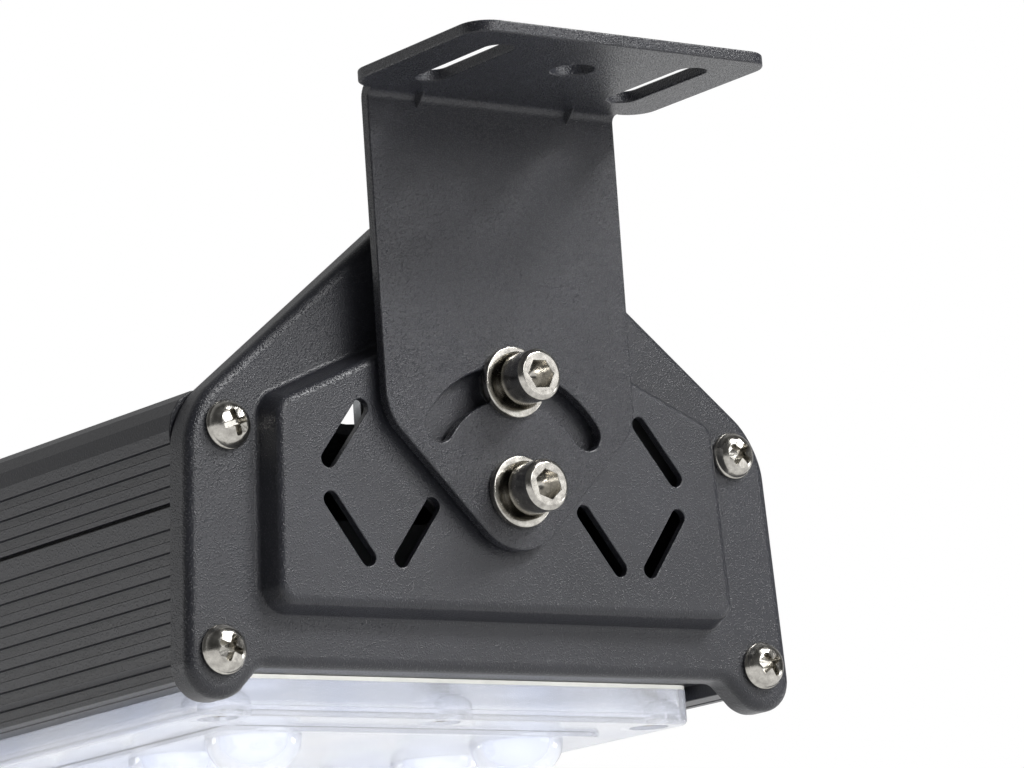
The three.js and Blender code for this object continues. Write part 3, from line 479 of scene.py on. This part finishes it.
def buildEndPlate(p):
    bm = bmesh.new()
    ring = p["ring"]

    def onPlane(y):
        return lambda x, z: (x * mm, y * mm, z * mm)

    def holeAt(x, z, radius, y):
        return roundHole(bm, radius, moved(x, y, z) @ faceOut, ring)

    face = roundedFace(bm, mirrored(p["corners"]), onPlane(p["rim"]), 10)
    pullLoop(bm, list(face.edges), shift=(0, (p["depth"] - p["rim"]) * mm, 0))
    stepFace(bm, face, [(b, a) for a, b in roundSteps(p["rim"], 0, 90, 6)])
    edges = rimOf(bm, face)
    for x, z in p["screws"]:
        for side in (-1, 1):
            edges += holeAt(side * x, z, p["screwHole"], 0)
    panel = roundedFace(bm, mirrored(p["panelCorners"]), onPlane(0), 10)
    foot = roundSteps(p["panelFoot"], 0, p["panelSlope"], 4)
    crown = roundSteps(p["panelRim"], p["panelSlope"], 0, 7)
    climb = p["panelRise"] - sum(rise for _, rise in foot + crown)
    straight = [(climb / math.tan(math.radians(p["panelSlope"])), climb)]
    edges += stepFace(bm, panel, foot + straight + crown)
    top = rimOf(bm, panel)
    for start, end in p["slots"]:
        for side in (-1, 1):
            corners = slotCorners([side * start[0], start[1]], [side * end[0], end[1]],
                                  p["slotWidth"] + 2 * ring)
            top += openHole(bm, roundedFace(bm, corners, onPlane(-p["panelRise"])), ring)
    for z in p["boltHoles"]:
        top += holeAt(0, z, p["boltHole"], -p["panelRise"])
    fillBetween(bm, edges)
    fillBetween(bm, top)
    return bm


plateMesh = buildEndPlate(endPlate)
for end, place in endPlaces.items():
    finishPiece(plateMesh, f"{end}EndPlate", "housing", "black_cast_plate", [f"{end}_end_plate"], place,
                outward=(0, -1, 0),
                modifiers=[thickened(endPlate["sheet"]), softEdges(endPlate["edge"]), evenShading])
print("end plates pressed")


# Bracket: 2.4 mm sheet, cut, bent through a right angle, with two pressed nicks across the bend
bracket = {
    "sheet": 2.4, "back": -6.7, "bendRadius": 1.5, "bendTop": 77.7,
    "legReach": 30.3, "legShoulder": 14.5, "legRadius": 10, "tipRadius": 11.6,
    "flangeReach": 36, "flangeDepth": 43.9, "flangeRadius": 5.5,
    "slotX": 23.4, "slotFrom": 8, "slotTo": 36.3, "slotWidth": 6.4, "hole": 4.3, "holeOut": 25.5,
    "arc": 55, "arcRadius": 22, "arcSteps": 40, "endSteps": 12, "boltHole": 3.3, "edge": 0.35, "ring": 0.7,
    "nickX": 18.4, "nickWidth": 2.2, "nickSide": 3.4, "nickFoot": 0.4, "nickTip": 0.2, "nickRound": 0.45,
}


def buildBracket(p):
    bm = bmesh.new()
    back = p["back"]
    turnY = back - p["sheet"] - p["bendRadius"]

    def onLeg(x, z):
        return x * mm, back * mm, z * mm

    def onFlange(x, out):
        return x * mm, (turnY - out) * mm, (p["bendTop"] + p["bendRadius"] + p["sheet"]) * mm

    leg = [[-p["legReach"], p["bendTop"], 0], [-p["legReach"], p["legShoulder"], p["legRadius"]],
           [0, -p["tipRadius"] * math.sqrt(2), p["tipRadius"]],
           [p["legReach"], p["legShoulder"], p["legRadius"]], [p["legReach"], p["bendTop"], 0]]
    ring = p["ring"]
    face = roundedFace(bm, leg, onLeg, 12)
    outer = stepFace(bm, face, [(ring, 0)])
    bendLine = next(e for e in outer if all(abs(v.co.z - p["bendTop"] * mm) < 1e-7 for v in e.verts))
    edges = rimOf(bm, face)
    edges += roundHole(bm, p["boltHole"], moved(0, back, 0) @ faceOut, ring)

    # The curved slot's outline is drawn by one point swept round four arcs, then joined into one face
    arc = math.radians(p["arc"])
    radius = p["arcRadius"]
    wide = radius + p["boltHole"] + ring
    point = bm.verts.new(onLeg(-wide * math.sin(arc), wide * math.cos(arc)))
    first = point
    ends = [Vector(onLeg(side * radius * math.sin(arc), radius * math.cos(arc))) for side in (1, -1)]
    middle = (0, 0, 0)
    for centre, angle, steps in ((middle, 2 * arc, p["arcSteps"]), (ends[0], math.pi, p["endSteps"]),
                                 (middle, -2 * arc, p["arcSteps"]), (ends[1], math.pi, p["endSteps"])):
        made = bmesh.ops.spin(bm, geom=[point], cent=centre, axis=(0, 1, 0), angle=angle, steps=steps,
                              use_merge=False, use_duplicate=False)
        point = next(g for g in made["geom_last"] if isinstance(g, bmesh.types.BMVert))
    chain, reached = [first], {first}
    while chain:
        for e in chain.pop().link_edges:
            for v in e.verts:
                if v not in reached:
                    reached.add(v)
                    chain.append(v)
    bmesh.ops.remove_doubles(bm, verts=list(reached), dist=0.01 * mm)
    slotEdges = list({e for v in reached if v.is_valid for e in v.link_edges})
    slotFace = bmesh.ops.contextual_create(bm, geom=slotEdges)["faces"][0]
    fillBetween(bm, edges + openHole(bm, slotFace, ring))

    # The bend is swept out of the leg's top edge
    centre = Vector((0, turnY * mm, p["bendTop"] * mm))
    flat = set(bm.faces)
    bmesh.ops.spin(bm, geom=[bendLine], cent=centre, axis=(1, 0, 0), angle=math.pi / 2, steps=10,
                   use_merge=False, use_duplicate=False)
    for strip in set(bm.faces) - flat:
        strip.smooth = True

    reach, depth = p["flangeReach"], p["flangeDepth"]
    flange = [[p["legReach"], 0, 0], [reach, 0, p["flangeRadius"]], [reach, depth, p["flangeRadius"]]]
    face = roundedFace(bm, mirrored(flange), onFlange, 12)
    stepFace(bm, face, [(ring, 0)])
    edges = rimOf(bm, face)
    inset = p["slotWidth"] / 2
    for side in (-1, 1):
        corners = slotCorners([side * p["slotX"], p["slotFrom"] + inset],
                              [side * p["slotX"], p["slotTo"] - inset], p["slotWidth"] + 2 * ring)
        edges += openHole(bm, roundedFace(bm, corners, onFlange, 12), ring)
    edges += roundHole(bm, p["hole"], Matrix.Translation(onFlange(0, p["holeOut"])), ring)
    fillBetween(bm, edges)
    return bm


# Each nick is a small ridge pushed into the inside of the bend, pointed at both its ends
def buildNicks(p):
    bm = bmesh.new()
    front = p["back"] - p["sheet"]
    under = p["bendTop"] + p["bendRadius"]
    side, foot, tip = p["nickSide"], p["nickFoot"], p["nickTip"]
    for x in (-p["nickX"], p["nickX"]):
        spots = [(x - p["nickWidth"] / 2, front + foot, under + foot),
                 (x + p["nickWidth"] / 2, front + foot, under + foot),
                 (x, front + tip, under - side), (x, front - side, under + tip)]
        points = [bm.verts.new([c * mm for c in spot]) for spot in spots]
        bmesh.ops.convex_hull(bm, input=points)
    bmesh.ops.recalc_face_normals(bm, faces=bm.faces)
    ridges = [e for e in bm.edges if abs(e.verts[0].co.x - e.verts[1].co.x) < 0.1 * mm]
    bmesh.ops.bevel(bm, geom=ridges, offset=p["nickRound"] * mm, offset_type="OFFSET", segments=3, profile=0.5,
                    affect="EDGES", clamp_overlap=True, material=-1)
    return bm


bracketMesh = buildBracket(bracket)
nickMesh = buildNicks(bracket)
for end, place in endPlaces.items():
    finishPiece(bracketMesh, f"{end}Bracket", f"{end}_bracket", "black_bracket_coat", [f"{end}_bracket"],
                place, outward=(0, 1, 1),
                modifiers=[thickened(bracket["sheet"]), softEdges(bracket["edge"], 3, 50), evenShading])
    finishPiece(nickMesh, f"{end}BracketNicks", f"{end}_bracket", "black_bracket_coat", [], place,
                modifiers=[evenShading])
print("brackets bent")


# Pan-head screws with a tapered cross recess, the head up along Z and the seat at zero. The rings of the dome
# are shares of the radius, and at its edge it still has edgeShare of its height
panScrew = {
    "radius": 4.8, "height": 3.6, "shank": 2.1, "length": 15, "cross": 5.4, "bar": 1.3, "depth": 2.2,
}
lensScrew = {
    "radius": 3.6, "height": 2.2, "shank": 1.7, "length": 8, "cross": 3.6, "bar": 0.9, "depth": 1.3,
}
panForm = {
    "rings": (0.7, 0.78, 0.85, 0.91, 0.955, 0.985, 1), "edgeShare": 0.25, "edge": 0.12, "tip": 0.8,
    "tipShare": 0.5, "tipCorner": 0.6, "innerCorner": 0.4, "recessReach": 1.12, "recessSeat": 0.85,
    "lip": (0.97, 0.97, 1), "floor": (0.72, 0.72, 0.15),
}


def buildPanScrew(p, form):
    bm = bmesh.new()
    radius, height, shank, edge = p["radius"], p["height"], p["shank"], form["edge"]

    def dome(share):
        return height * math.sqrt(max(1 - share ** 3, form["edgeShare"] ** 2))

    long, short = p["cross"] / 2, p["bar"] / 2
    corners = []
    for k in range(4):
        turn = Matrix.Rotation(k * math.pi / 2, 2)
        for x, y, corner in ((long, -short, form["tipCorner"]), (long, short, form["tipCorner"]),
                             (short, short, form["innerCorner"])):
            spot = turn @ Vector((x, y))
            corners.append([spot.x, spot.y, short * corner])
    face = roundedFace(bm, corners, lambda x, y: (x * mm, y * mm, height * mm), 3)
    cross = rimOf(bm, face)
    middle = long * form["recessReach"]
    ring = ringEdges(bm, middle, height, 48)
    fillBetween(bm, cross + ring)
    for point in bm.verts:
        point.co.z = dome(point.co.xy.length / mm / radius) * mm
    rows = [(share * radius, dome(share)) for share in form["rings"]]
    rows += [(radius, edge), (radius - edge, 0), (shank, 0), (shank, form["tip"] - p["length"]),
             (shank * form["tipShare"], -p["length"])]
    bmesh.ops.edgeloop_fill(bm, edges=pullRings(bm, ring, middle, rows))
    lip = pullLoop(bm, cross, form["lip"], (0, 0, -edge * mm))
    floor = pullLoop(bm, lip, form["floor"], (0, 0, (height * form["recessSeat"] - p["depth"]) * mm))
    bmesh.ops.edgeloop_fill(bm, edges=floor)
    return bm


# Each spot is x, z and the turn of the cross in degrees. The heads sit a little off the plate
plateScrews = {
    "spots": {
        "upper_left": (-61.8, 12, 18), "upper_right": (61.8, 12, 52),
        "lower_left": (-65.6, -31.6, 70), "lower_right": (65.6, -31.6, 35),
    },
    "seatGap": 0.1,
}

screwMesh = buildPanScrew(panScrew, panForm)
for end, place in endPlaces.items():
    for spotName, (x, z, turn) in plateScrews["spots"].items():
        seat = place @ moved(x, -plateScrews["seatGap"], z) @ faceOut @ turned(turn)
        side = spotName.title().replace("_", "")
        finishPiece(screwMesh, f"{end}PlateScrew{side}", "housing", "nickel_steel",
                    [f"{end}_plate_screw_{spotName}"], seat, modifiers=[evenShading])
print("plate screws driven")


# Socket cap screw, split washer and flat washer, head up along Z. The head's top edge is a chamfer with soft
# corners, given as how far in from the side and how far down from the top
capScrew = {
    "under": 12.6, "radius": 5.2, "height": 6.6, "topEdge": [(0.95, 0), (0.7, 0.07), (0.12, 0.6), (0, 0.85)],
    "underEdge": 0.3, "socket": 3.2, "socketDepth": 3.4, "lip": 0.15, "lipShare": 0.94, "drillShare": 0.1,
    "drillDepth": 0.9, "shank": 2.95, "length": 19, "tip": 0.6,
}
splitWasher = {
    "from": 12.5, "thickness": 1.6, "inner": 3.15, "outer": 5.9, "edge": 0.25, "gap": 12, "lift": 0.3,
    "steps": 64,
}
flatWasher = {"from": 10.8, "thickness": 1.6, "inner": 3.2, "outer": 7.2, "round": 0.35, "edge": 0.15}

# The lower bolt is the pivot and the upper one locks the tilt
bolts = {
    "pivot": {"height": 0, "turn": 12, "washerTurn": 140},
    "lock": {"height": 22, "turn": 34, "washerTurn": 318},
}


def buildCapScrew(p):
    bm = bmesh.new()
    radius, shank, under, edge, tip = p["radius"], p["shank"], p["under"], p["underEdge"], p["tip"]
    top = under + p["height"]
    rows = [(radius - inward, top - down) for inward, down in p["topEdge"]]
    first = rows.pop(0)[0]
    rows += [(radius, under + edge), (radius - edge, under), (shank, under),
             (shank, under - p["length"] + tip), (shank - tip, under - p["length"])]
    hexagon = ringEdges(bm, p["socket"], top, 6)
    face = ringEdges(bm, first, top, 60)
    fillBetween(bm, hexagon + face)
    bmesh.ops.edgeloop_fill(bm, edges=pullRings(bm, face, first, rows))
    share, drill = p["lipShare"], p["drillShare"]
    lip = pullLoop(bm, hexagon, (share, share, 1), (0, 0, -p["lip"] * mm))
    floor = pullLoop(bm, lip, shift=(0, 0, (p["lip"] - p["socketDepth"]) * mm))
    point = pullLoop(bm, floor, (drill, drill, 1), (0, 0, -p["drillDepth"] * mm))
    bmesh.ops.edgeloop_fill(bm, edges=point)
    return bm


# The washer climbs along its turn, so that its two cut ends stand apart
def buildSplitWasher(p, turn):
    bm = bmesh.new()
    low, high, edge, climb = p["from"] - p["thickness"], p["from"] - p["lift"] / 2, p["edge"], p["lift"]
    inner, outer = p["inner"], p["outer"]
    profile = [(inner, low + edge), (inner + edge, low), (outer - edge, low), (outer, low + edge),
               (outer, high - edge), (outer - edge, high), (inner + edge, high), (inner, high - edge)]
    face = bm.faces.new([bm.verts.new((radius * mm, 0, height * mm)) for radius, height in profile])
    bmesh.ops.spin(bm, geom=[face], cent=(0, 0, 0), axis=(0, 0, 1), dvec=(0, 0, climb * mm / p["steps"]),
                   angle=math.radians(360 - p["gap"]), steps=p["steps"], use_merge=False, use_duplicate=True)
    bmesh.ops.transform(bm, matrix=turned(turn), verts=bm.verts)
    return bm


def buildFlatWasher(p):
    bm = bmesh.new()
    low, high, soft, edge = p["from"] - p["thickness"], p["from"], p["round"], p["edge"]
    inner, outer = p["inner"], p["outer"]
    profile = [(inner, low), (outer - edge, low), (outer, low + edge), (outer, high - soft),
               (outer - soft * 0.3, high - soft * 0.3), (outer - soft, high), (inner + edge, high),
               (inner, high - edge), (inner, low)]
    turnedShape(bm, profile, 64)
    return bm


boltMesh = buildCapScrew(capScrew)
washerMesh = buildFlatWasher(flatWasher)
for end, place in endPlaces.items():
    for boltName, bolt in bolts.items():
        axis = place @ moved(0, 0, bolt["height"]) @ faceOut
        splitMesh = buildSplitWasher(splitWasher, bolt["washerTurn"])
        for piece, node, mesh, seat in (("Bolt", "bolt", boltMesh, axis @ turned(bolt["turn"])),
                                        ("SplitWasher", "spring_washer", splitMesh, axis),
                                        ("Washer", "washer", washerMesh, axis)):
            finishPiece(mesh, f"{end}{boltName.title()}{piece}", "housing", "nickel_steel",
                        [f"{end}_{boltName}_{node}"], seat, modifiers=[evenShading])
print("bolts and washers fitted")


# Extruded pieces: the drawn profiles, with the soft corners that a die and the coat leave. Edges sharper than
# sharpFrom degrees are rounded, once flats that differ by less than flatWithin are joined
extrusion = {"edge": 0.22, "sharpFrom": 28, "flatWithin": 0.6, "merge": 0.002}


def roundedCopy(node, name, p):
    bm = bmesh.new()
    bm.from_mesh(frame["nodes"][node].data)
    bmesh.ops.remove_doubles(bm, verts=bm.verts, dist=p["merge"] * mm)
    bmesh.ops.dissolve_limit(bm, angle_limit=math.radians(p["flatWithin"]), use_dissolve_boundaries=False,
                             verts=bm.verts, edges=bm.edges)
    finishPiece(bm, name, "housing", "black_extrusion", [node],
                modifiers=[softEdges(p["edge"], angle=p["sharpFrom"]), evenShading])


roundedCopy("heatsink_body", "heatsinkBody", extrusion)
roundedCopy("top_cover", "topCover", extrusion)
print("extrusions drawn")


# Painted shade: a black sheet behind the upper right slot of each panel, which stands in for the dark seen
# through the slot
slotShadeSheet = {
    "from": 27, "to": 47, "low": 2, "high": 23, "corner": 1, "outerCorner": 4, "back": -0.7, "sheet": 0.4,
}


def buildSlotShadeSheet(p):
    bm = bmesh.new()
    corners = [[p["from"], p["low"], p["corner"]], [p["to"], p["low"], p["corner"]],
               [p["to"], p["high"], p["outerCorner"]], [p["from"], p["high"], p["corner"]]]
    roundedFace(bm, corners, lambda x, z: (x * mm, (p["back"] - p["sheet"]) * mm, z * mm), 4)
    return bm


# Each black sheet is painted shade behind a slot, not a part of the light
slotShadeMesh = buildSlotShadeSheet(slotShadeSheet)
for end, place in endPlaces.items():
    finishPiece(slotShadeMesh, f"{end}SlotShadeSheet", "housing", "black_nylon", [], place, outward=(0, -1, 0),
                modifiers=[thickened(slotShadeSheet["sheet"])])
print("slot shade sheets cut")


# Lens panel: a clear moulded tray, with a step round its optic area, a dome over each emitter and screw wells.
# The wall of a well, given as how far in and how deep, ends at a flat seat with the screw's hole in its middle
lens = {
    "reach": 59.8, "length": 137, "corner": 3, "top": -34.2, "bottom": -41.4, "bottomEdge": 1.1, "wall": 2.2,
    "opticReach": 47.3, "opticMargin": 13, "opticCorner": 4, "opticStep": [(0.35, 0.85), (0.15, 0.15)],
    "domeRows": (-32.5, 32.5), "domePitch": 29, "domesPerRow": 4, "domeRadius": 9.8, "domeRise": 8,
    "domeRings": 10, "domeTip": 1.5,
    "screws": [(-52.8, 6), (0, 6), (52.8, 6), (-52.8, 131), (0, 131), (52.8, 131)],
    "well": 4.2, "wellWall": [(0.12, 0.1), (0.1, 2.4), (0.1, 0.1)],
    "screwHole": 2.1, "holeTaper": 0.02, "holeDepth": 2.4,
}


# Faces are drawn in mirror image, left to right, so that they look down
def lookingDown(z):
    return lambda x, y: (-x * mm, y * mm, z * mm)


def buildLens(p):
    bm = bmesh.new()
    reach, length, bottom = p["reach"], p["length"], p["bottom"]
    face = roundedFace(bm, rectangle(reach, 0, length, p["corner"]), lookingDown(bottom + p["bottomEdge"]), 10)
    pullLoop(bm, list(face.edges), shift=(0, 0, (p["top"] - bottom - p["bottomEdge"]) * mm))
    stepFace(bm, face, [(b, a) for a, b in roundSteps(p["bottomEdge"], 0, 90, 5)])
    edges = rimOf(bm, face)

    optic = rectangle(p["opticReach"], p["opticMargin"], length - p["opticMargin"], p["opticCorner"])
    face = roundedFace(bm, optic, lookingDown(bottom))
    edges += stepFace(bm, face, p["opticStep"])
    opticEdges = rimOf(bm, face)
    opticHeight = bottom - sum(rise for _, rise in p["opticStep"])

    wellSteps = [(inward, -deep) for inward, deep in p["wellWall"]]
    seat = p["well"] - p["screwHole"] - sum(inward for inward, _ in wellSteps)
    wellSteps += [(seat, 0), (p["holeTaper"], -p["holeDepth"])]
    for x, y in p["screws"]:
        face = discFace(bm, p["well"], moved(x, y, bottom) @ faceDown, 32)
        edges += stepFace(bm, face, wellSteps)
        rimOf(bm, face)

    turns = [math.pi / 2 * i / p["domeRings"] for i in range(p["domeRings"])] + [p["domeTip"]]
    domeSteps = [(p["domeRadius"] * (math.cos(a) - math.cos(b)), p["domeRise"] * (math.sin(b) - math.sin(a)))
                 for a, b in zip(turns, turns[1:])]
    for x in p["domeRows"]:
        for k in range(p["domesPerRow"]):
            y = length / 2 + (k - (p["domesPerRow"] - 1) / 2) * p["domePitch"]
            face = discFace(bm, p["domeRadius"], moved(x, y, opticHeight) @ faceDown, 40)
            opticEdges += stepFace(bm, face, domeSteps)
    fillBetween(bm, edges)
    fillBetween(bm, opticEdges)
    return bm


# White reflector film between the web and the lens, open round the board and cut out for the screws
reflector = {
    "top": -33.25, "sheet": 0.5, "side": 2.5, "corner": 0.6, "hole": 1.9,
    "boardSide": 13.4, "boardMargin": 12, "boardCorner": 4, "boardGap": 0.3,
}


def buildReflector(p, tray):
    bm = bmesh.new()
    height = p["top"] - p["sheet"]

    def sheetEdges(reach, margin, corner):
        corners = rectangle(reach, margin, tray["length"] - margin, corner)
        return rimOf(bm, roundedFace(bm, corners, lookingDown(height), 6))

    edges = sheetEdges(tray["reach"] - p["side"], p["side"], p["corner"])
    edges += sheetEdges(tray["reach"] - p["boardSide"] + p["boardGap"], p["boardMargin"] - p["boardGap"],
                        p["boardCorner"])
    for spot in tray["screws"]:
        edges += ringEdges(bm, p["hole"], height, 24, spot)
    fillBetween(bm, edges)
    return bm


# The six screws of a panel are one piece, each turned its own way
def gatherLensScrews(p):
    bm = bmesh.new()
    screw = buildPanScrew(lensScrew, panForm)
    seatHeight = p["bottom"] + sum(deep for _, deep in p["wellWall"])
    for x, y in p["screws"]:
        one = screw.copy()
        seat = moved(x, y, seatHeight) @ faceDown @ Matrix.Rotation(x + y, 4, "Z")
        bmesh.ops.transform(one, matrix=seat, verts=one.verts)
        loose = bpy.data.meshes.new("oneScrew")
        one.to_mesh(loose)
        bm.from_mesh(loose)
        bpy.data.meshes.remove(loose)
        one.free()
    return bm


lensMesh = buildLens(lens)
reflectorMesh = buildReflector(reflector, lens)
lensScrewMesh = gatherLensScrews(lens)
for end in ("front", "rear"):
    place = Matrix.Translation((0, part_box(f"{end}_lens")[0].y, pivots["housing_tilt"].z))
    finishPiece(lensMesh, f"{end}Lens", "housing", "clear_lens", [f"{end}_lens"], place,
                outward=(0, 0, -1), modifiers=[thickened(lens["wall"]), evenShading])
    finishPiece(reflectorMesh, f"{end}Reflector", "housing", "white_board", [], place,
                outward=(0, 0, -1), modifiers=[thickened(reflector["sheet"])])
    finishPiece(lensScrewMesh, f"{end}LensScrews", "housing", "nickel_steel",
                [f"{end}_lens_screw_{k}" for k in range(1, 7)], place, modifiers=[evenShading])
print("lenses moulded")


# Floor: pale paper that joins the white backdrop. Light off matt surfaces meets real paper, and every other
# ray sees plain white. From below it is see-through, so that the underside can be seen
paper = {"size": 6, "height": -0.45, "colour": "#e8e8e6"}
floorMesh = bpy.data.meshes.new("floor")
bm = bmesh.new()
bmesh.ops.create_grid(bm, x_segments=1, y_segments=1, size=paper["size"],
                      matrix=Matrix.Translation((0, 0, paper["height"])))
bm.to_mesh(floorMesh)
bm.free()
floor = bpy.data.objects.new("floor", floorMesh)
scene.collection.objects.link(floor)
paperMaterial = bpy.data.materials.new("palePaper")
paperMaterial.use_nodes = True
tree = paperMaterial.node_tree
tree.nodes.clear()
sheetLook = addNode(tree, "ShaderNodeBsdfDiffuse", {"Color": linearColour(paper["colour"])})
glow = addNode(tree, "ShaderNodeEmission", {"Color": (1, 1, 1, 1), "Strength": 1})
rays = addNode(tree, "ShaderNodeLightPath")
lit = addNode(tree, "ShaderNodeMixShader", links={
    0: rays.outputs["Is Diffuse Ray"], 1: glow.outputs[0], 2: sheetLook.outputs[0],
})
clear = addNode(tree, "ShaderNodeBsdfTransparent")
face = addNode(tree, "ShaderNodeNewGeometry")
blend = addNode(tree, "ShaderNodeMixShader", links={
    0: face.outputs["Backfacing"], 1: lit.outputs[0], 2: clear.outputs[0],
})
addNode(tree, "ShaderNodeOutputMaterial", links={"Surface": blend.outputs[0]})
floorMesh.materials.append(paperMaterial)
print("floor laid")


# Light: soft boxes, most of them to the right of the camera, high and low, and a faint one behind on the left.
# Each lamp is [degrees right of the front, degrees up, side in metres, watts]
lighting = {
    "lamps": [[40, 38, 0.3, 11.6], [22, 38, 0.3, 7.4], [22, 56, 0.45, 5.3], [22, 20, 0.6, 3.5],
              [5, 20, 0.45, 4], [40, 3, 0.8, 2.3], [80, -15, 0.45, 4.3], [-140, 0, 0.45, 1.8]],
    "distance": 1.6, "aimAbove": 20,
}


def placeLamp(name, target, distance, across, up, side, power):
    a, e = math.radians(across), math.radians(up)
    toLamp = Vector((math.sin(a) * math.cos(e), -math.cos(a) * math.cos(e), math.sin(e)))
    lampData = bpy.data.lights.new(name, "AREA")
    lampData.size = side
    lampData.energy = power
    lamp = bpy.data.objects.new(name, lampData)
    lamp.location = target + toLamp * distance
    lamp.rotation_euler = (-toLamp).to_track_quat("-Z", "Y").to_euler()
    lamp.visible_camera = False
    scene.collection.objects.link(lamp)
    return lamp


aim = pivots["housing_tilt"] + Vector((0, 0, lighting["aimAbove"] * mm))
for k, numbers in enumerate(lighting["lamps"]):
    placeLamp(f"softBox{k}", aim, lighting["distance"], *numbers)

# The pale studio floor and a white card in front light the lens and the white parts behind it. Both are lamps
# of their own, and only those white parts cast a shadow in them. Each is
# [distance, degrees right of the front, degrees up, side in metres, watts]
lensLight = {"floorLight": [0.42, 0, -90, 1.4, 5.4], "cardLight": [1.2, -24, -8, 0.5, 9]}
behindLens = bpy.data.collections.new("behindLens")
throughLens = bpy.data.collections.new("throughLens")
for end in ("front", "rear"):
    for piece in (frame["nodes"][f"{end}_led_board"], frame["nodes"][f"{end}_lens_gasket"],
                  bpy.data.objects[f"{end}Reflector"]):
        behindLens.objects.link(piece)
        throughLens.objects.link(piece)
    behindLens.objects.link(bpy.data.objects[f"{end}Lens"])
underside = Vector((0, (cadBox[0][1] + cadBox[1][1]) / 2, cadBox[0][2]))
for name, numbers in lensLight.items():
    lamp = placeLamp(name, underside, *numbers)
    lamp.visible_glossy = False
    lamp.visible_transmission = False
    lamp.light_linking.receiver_collection = behindLens
    lamp.light_linking.blocker_collection = throughLens

# World: white to the camera and through the lens, and dim to matt surfaces. Reflections see a dark room with
# a pale wall that rises behind the light, from wallFrom to wallTo along Y
studio = {"ambient": 0.02, "front": 0.06, "wall": 0.42, "wallFrom": 0.05, "wallTo": 0.45}
world = bpy.data.worlds.new("studio")
scene.world = world
world.use_nodes = True
tree = world.node_tree
tree.nodes.clear()
path = addNode(tree, "ShaderNodeLightPath")
seen = addNode(tree, "ShaderNodeMath", {"operation": "MAXIMUM"}, {
    0: path.outputs["Is Camera Ray"], 1: path.outputs["Is Transmission Ray"],
})
outward = addNode(tree, "ShaderNodeTexCoord").outputs["Generated"]
direction = addNode(tree, "ShaderNodeSeparateXYZ", links={0: outward})
backWall = addNode(tree, "ShaderNodeMapRange", {
    "From Min": studio["wallFrom"], "From Max": studio["wallTo"],
    "To Min": studio["front"], "To Max": studio["wall"],
}, {"Value": direction.outputs["Y"]})
mirrorPart = addNode(tree, "ShaderNodeMath", {"operation": "MULTIPLY"}, {
    0: path.outputs["Is Glossy Ray"], 1: backWall.outputs["Result"],
})
level = addNode(tree, "ShaderNodeMath", {"operation": "MAXIMUM"}, {
    0: seen.outputs[0], 1: mirrorPart.outputs[0],
})
strength = addNode(tree, "ShaderNodeMapRange", {
    "From Min": 0, "From Max": 1, "To Min": studio["ambient"], "To Max": 1,
}, {"Value": level.outputs[0]})
sky = addNode(tree, "ShaderNodeBackground", {"Color": (1, 1, 1, 1)}, {"Strength": strength.outputs["Result"]})
addNode(tree, "ShaderNodeOutputWorld", links={"Surface": sky.outputs[0]})
scene.view_settings.view_transform = "Standard"
print("lights set")
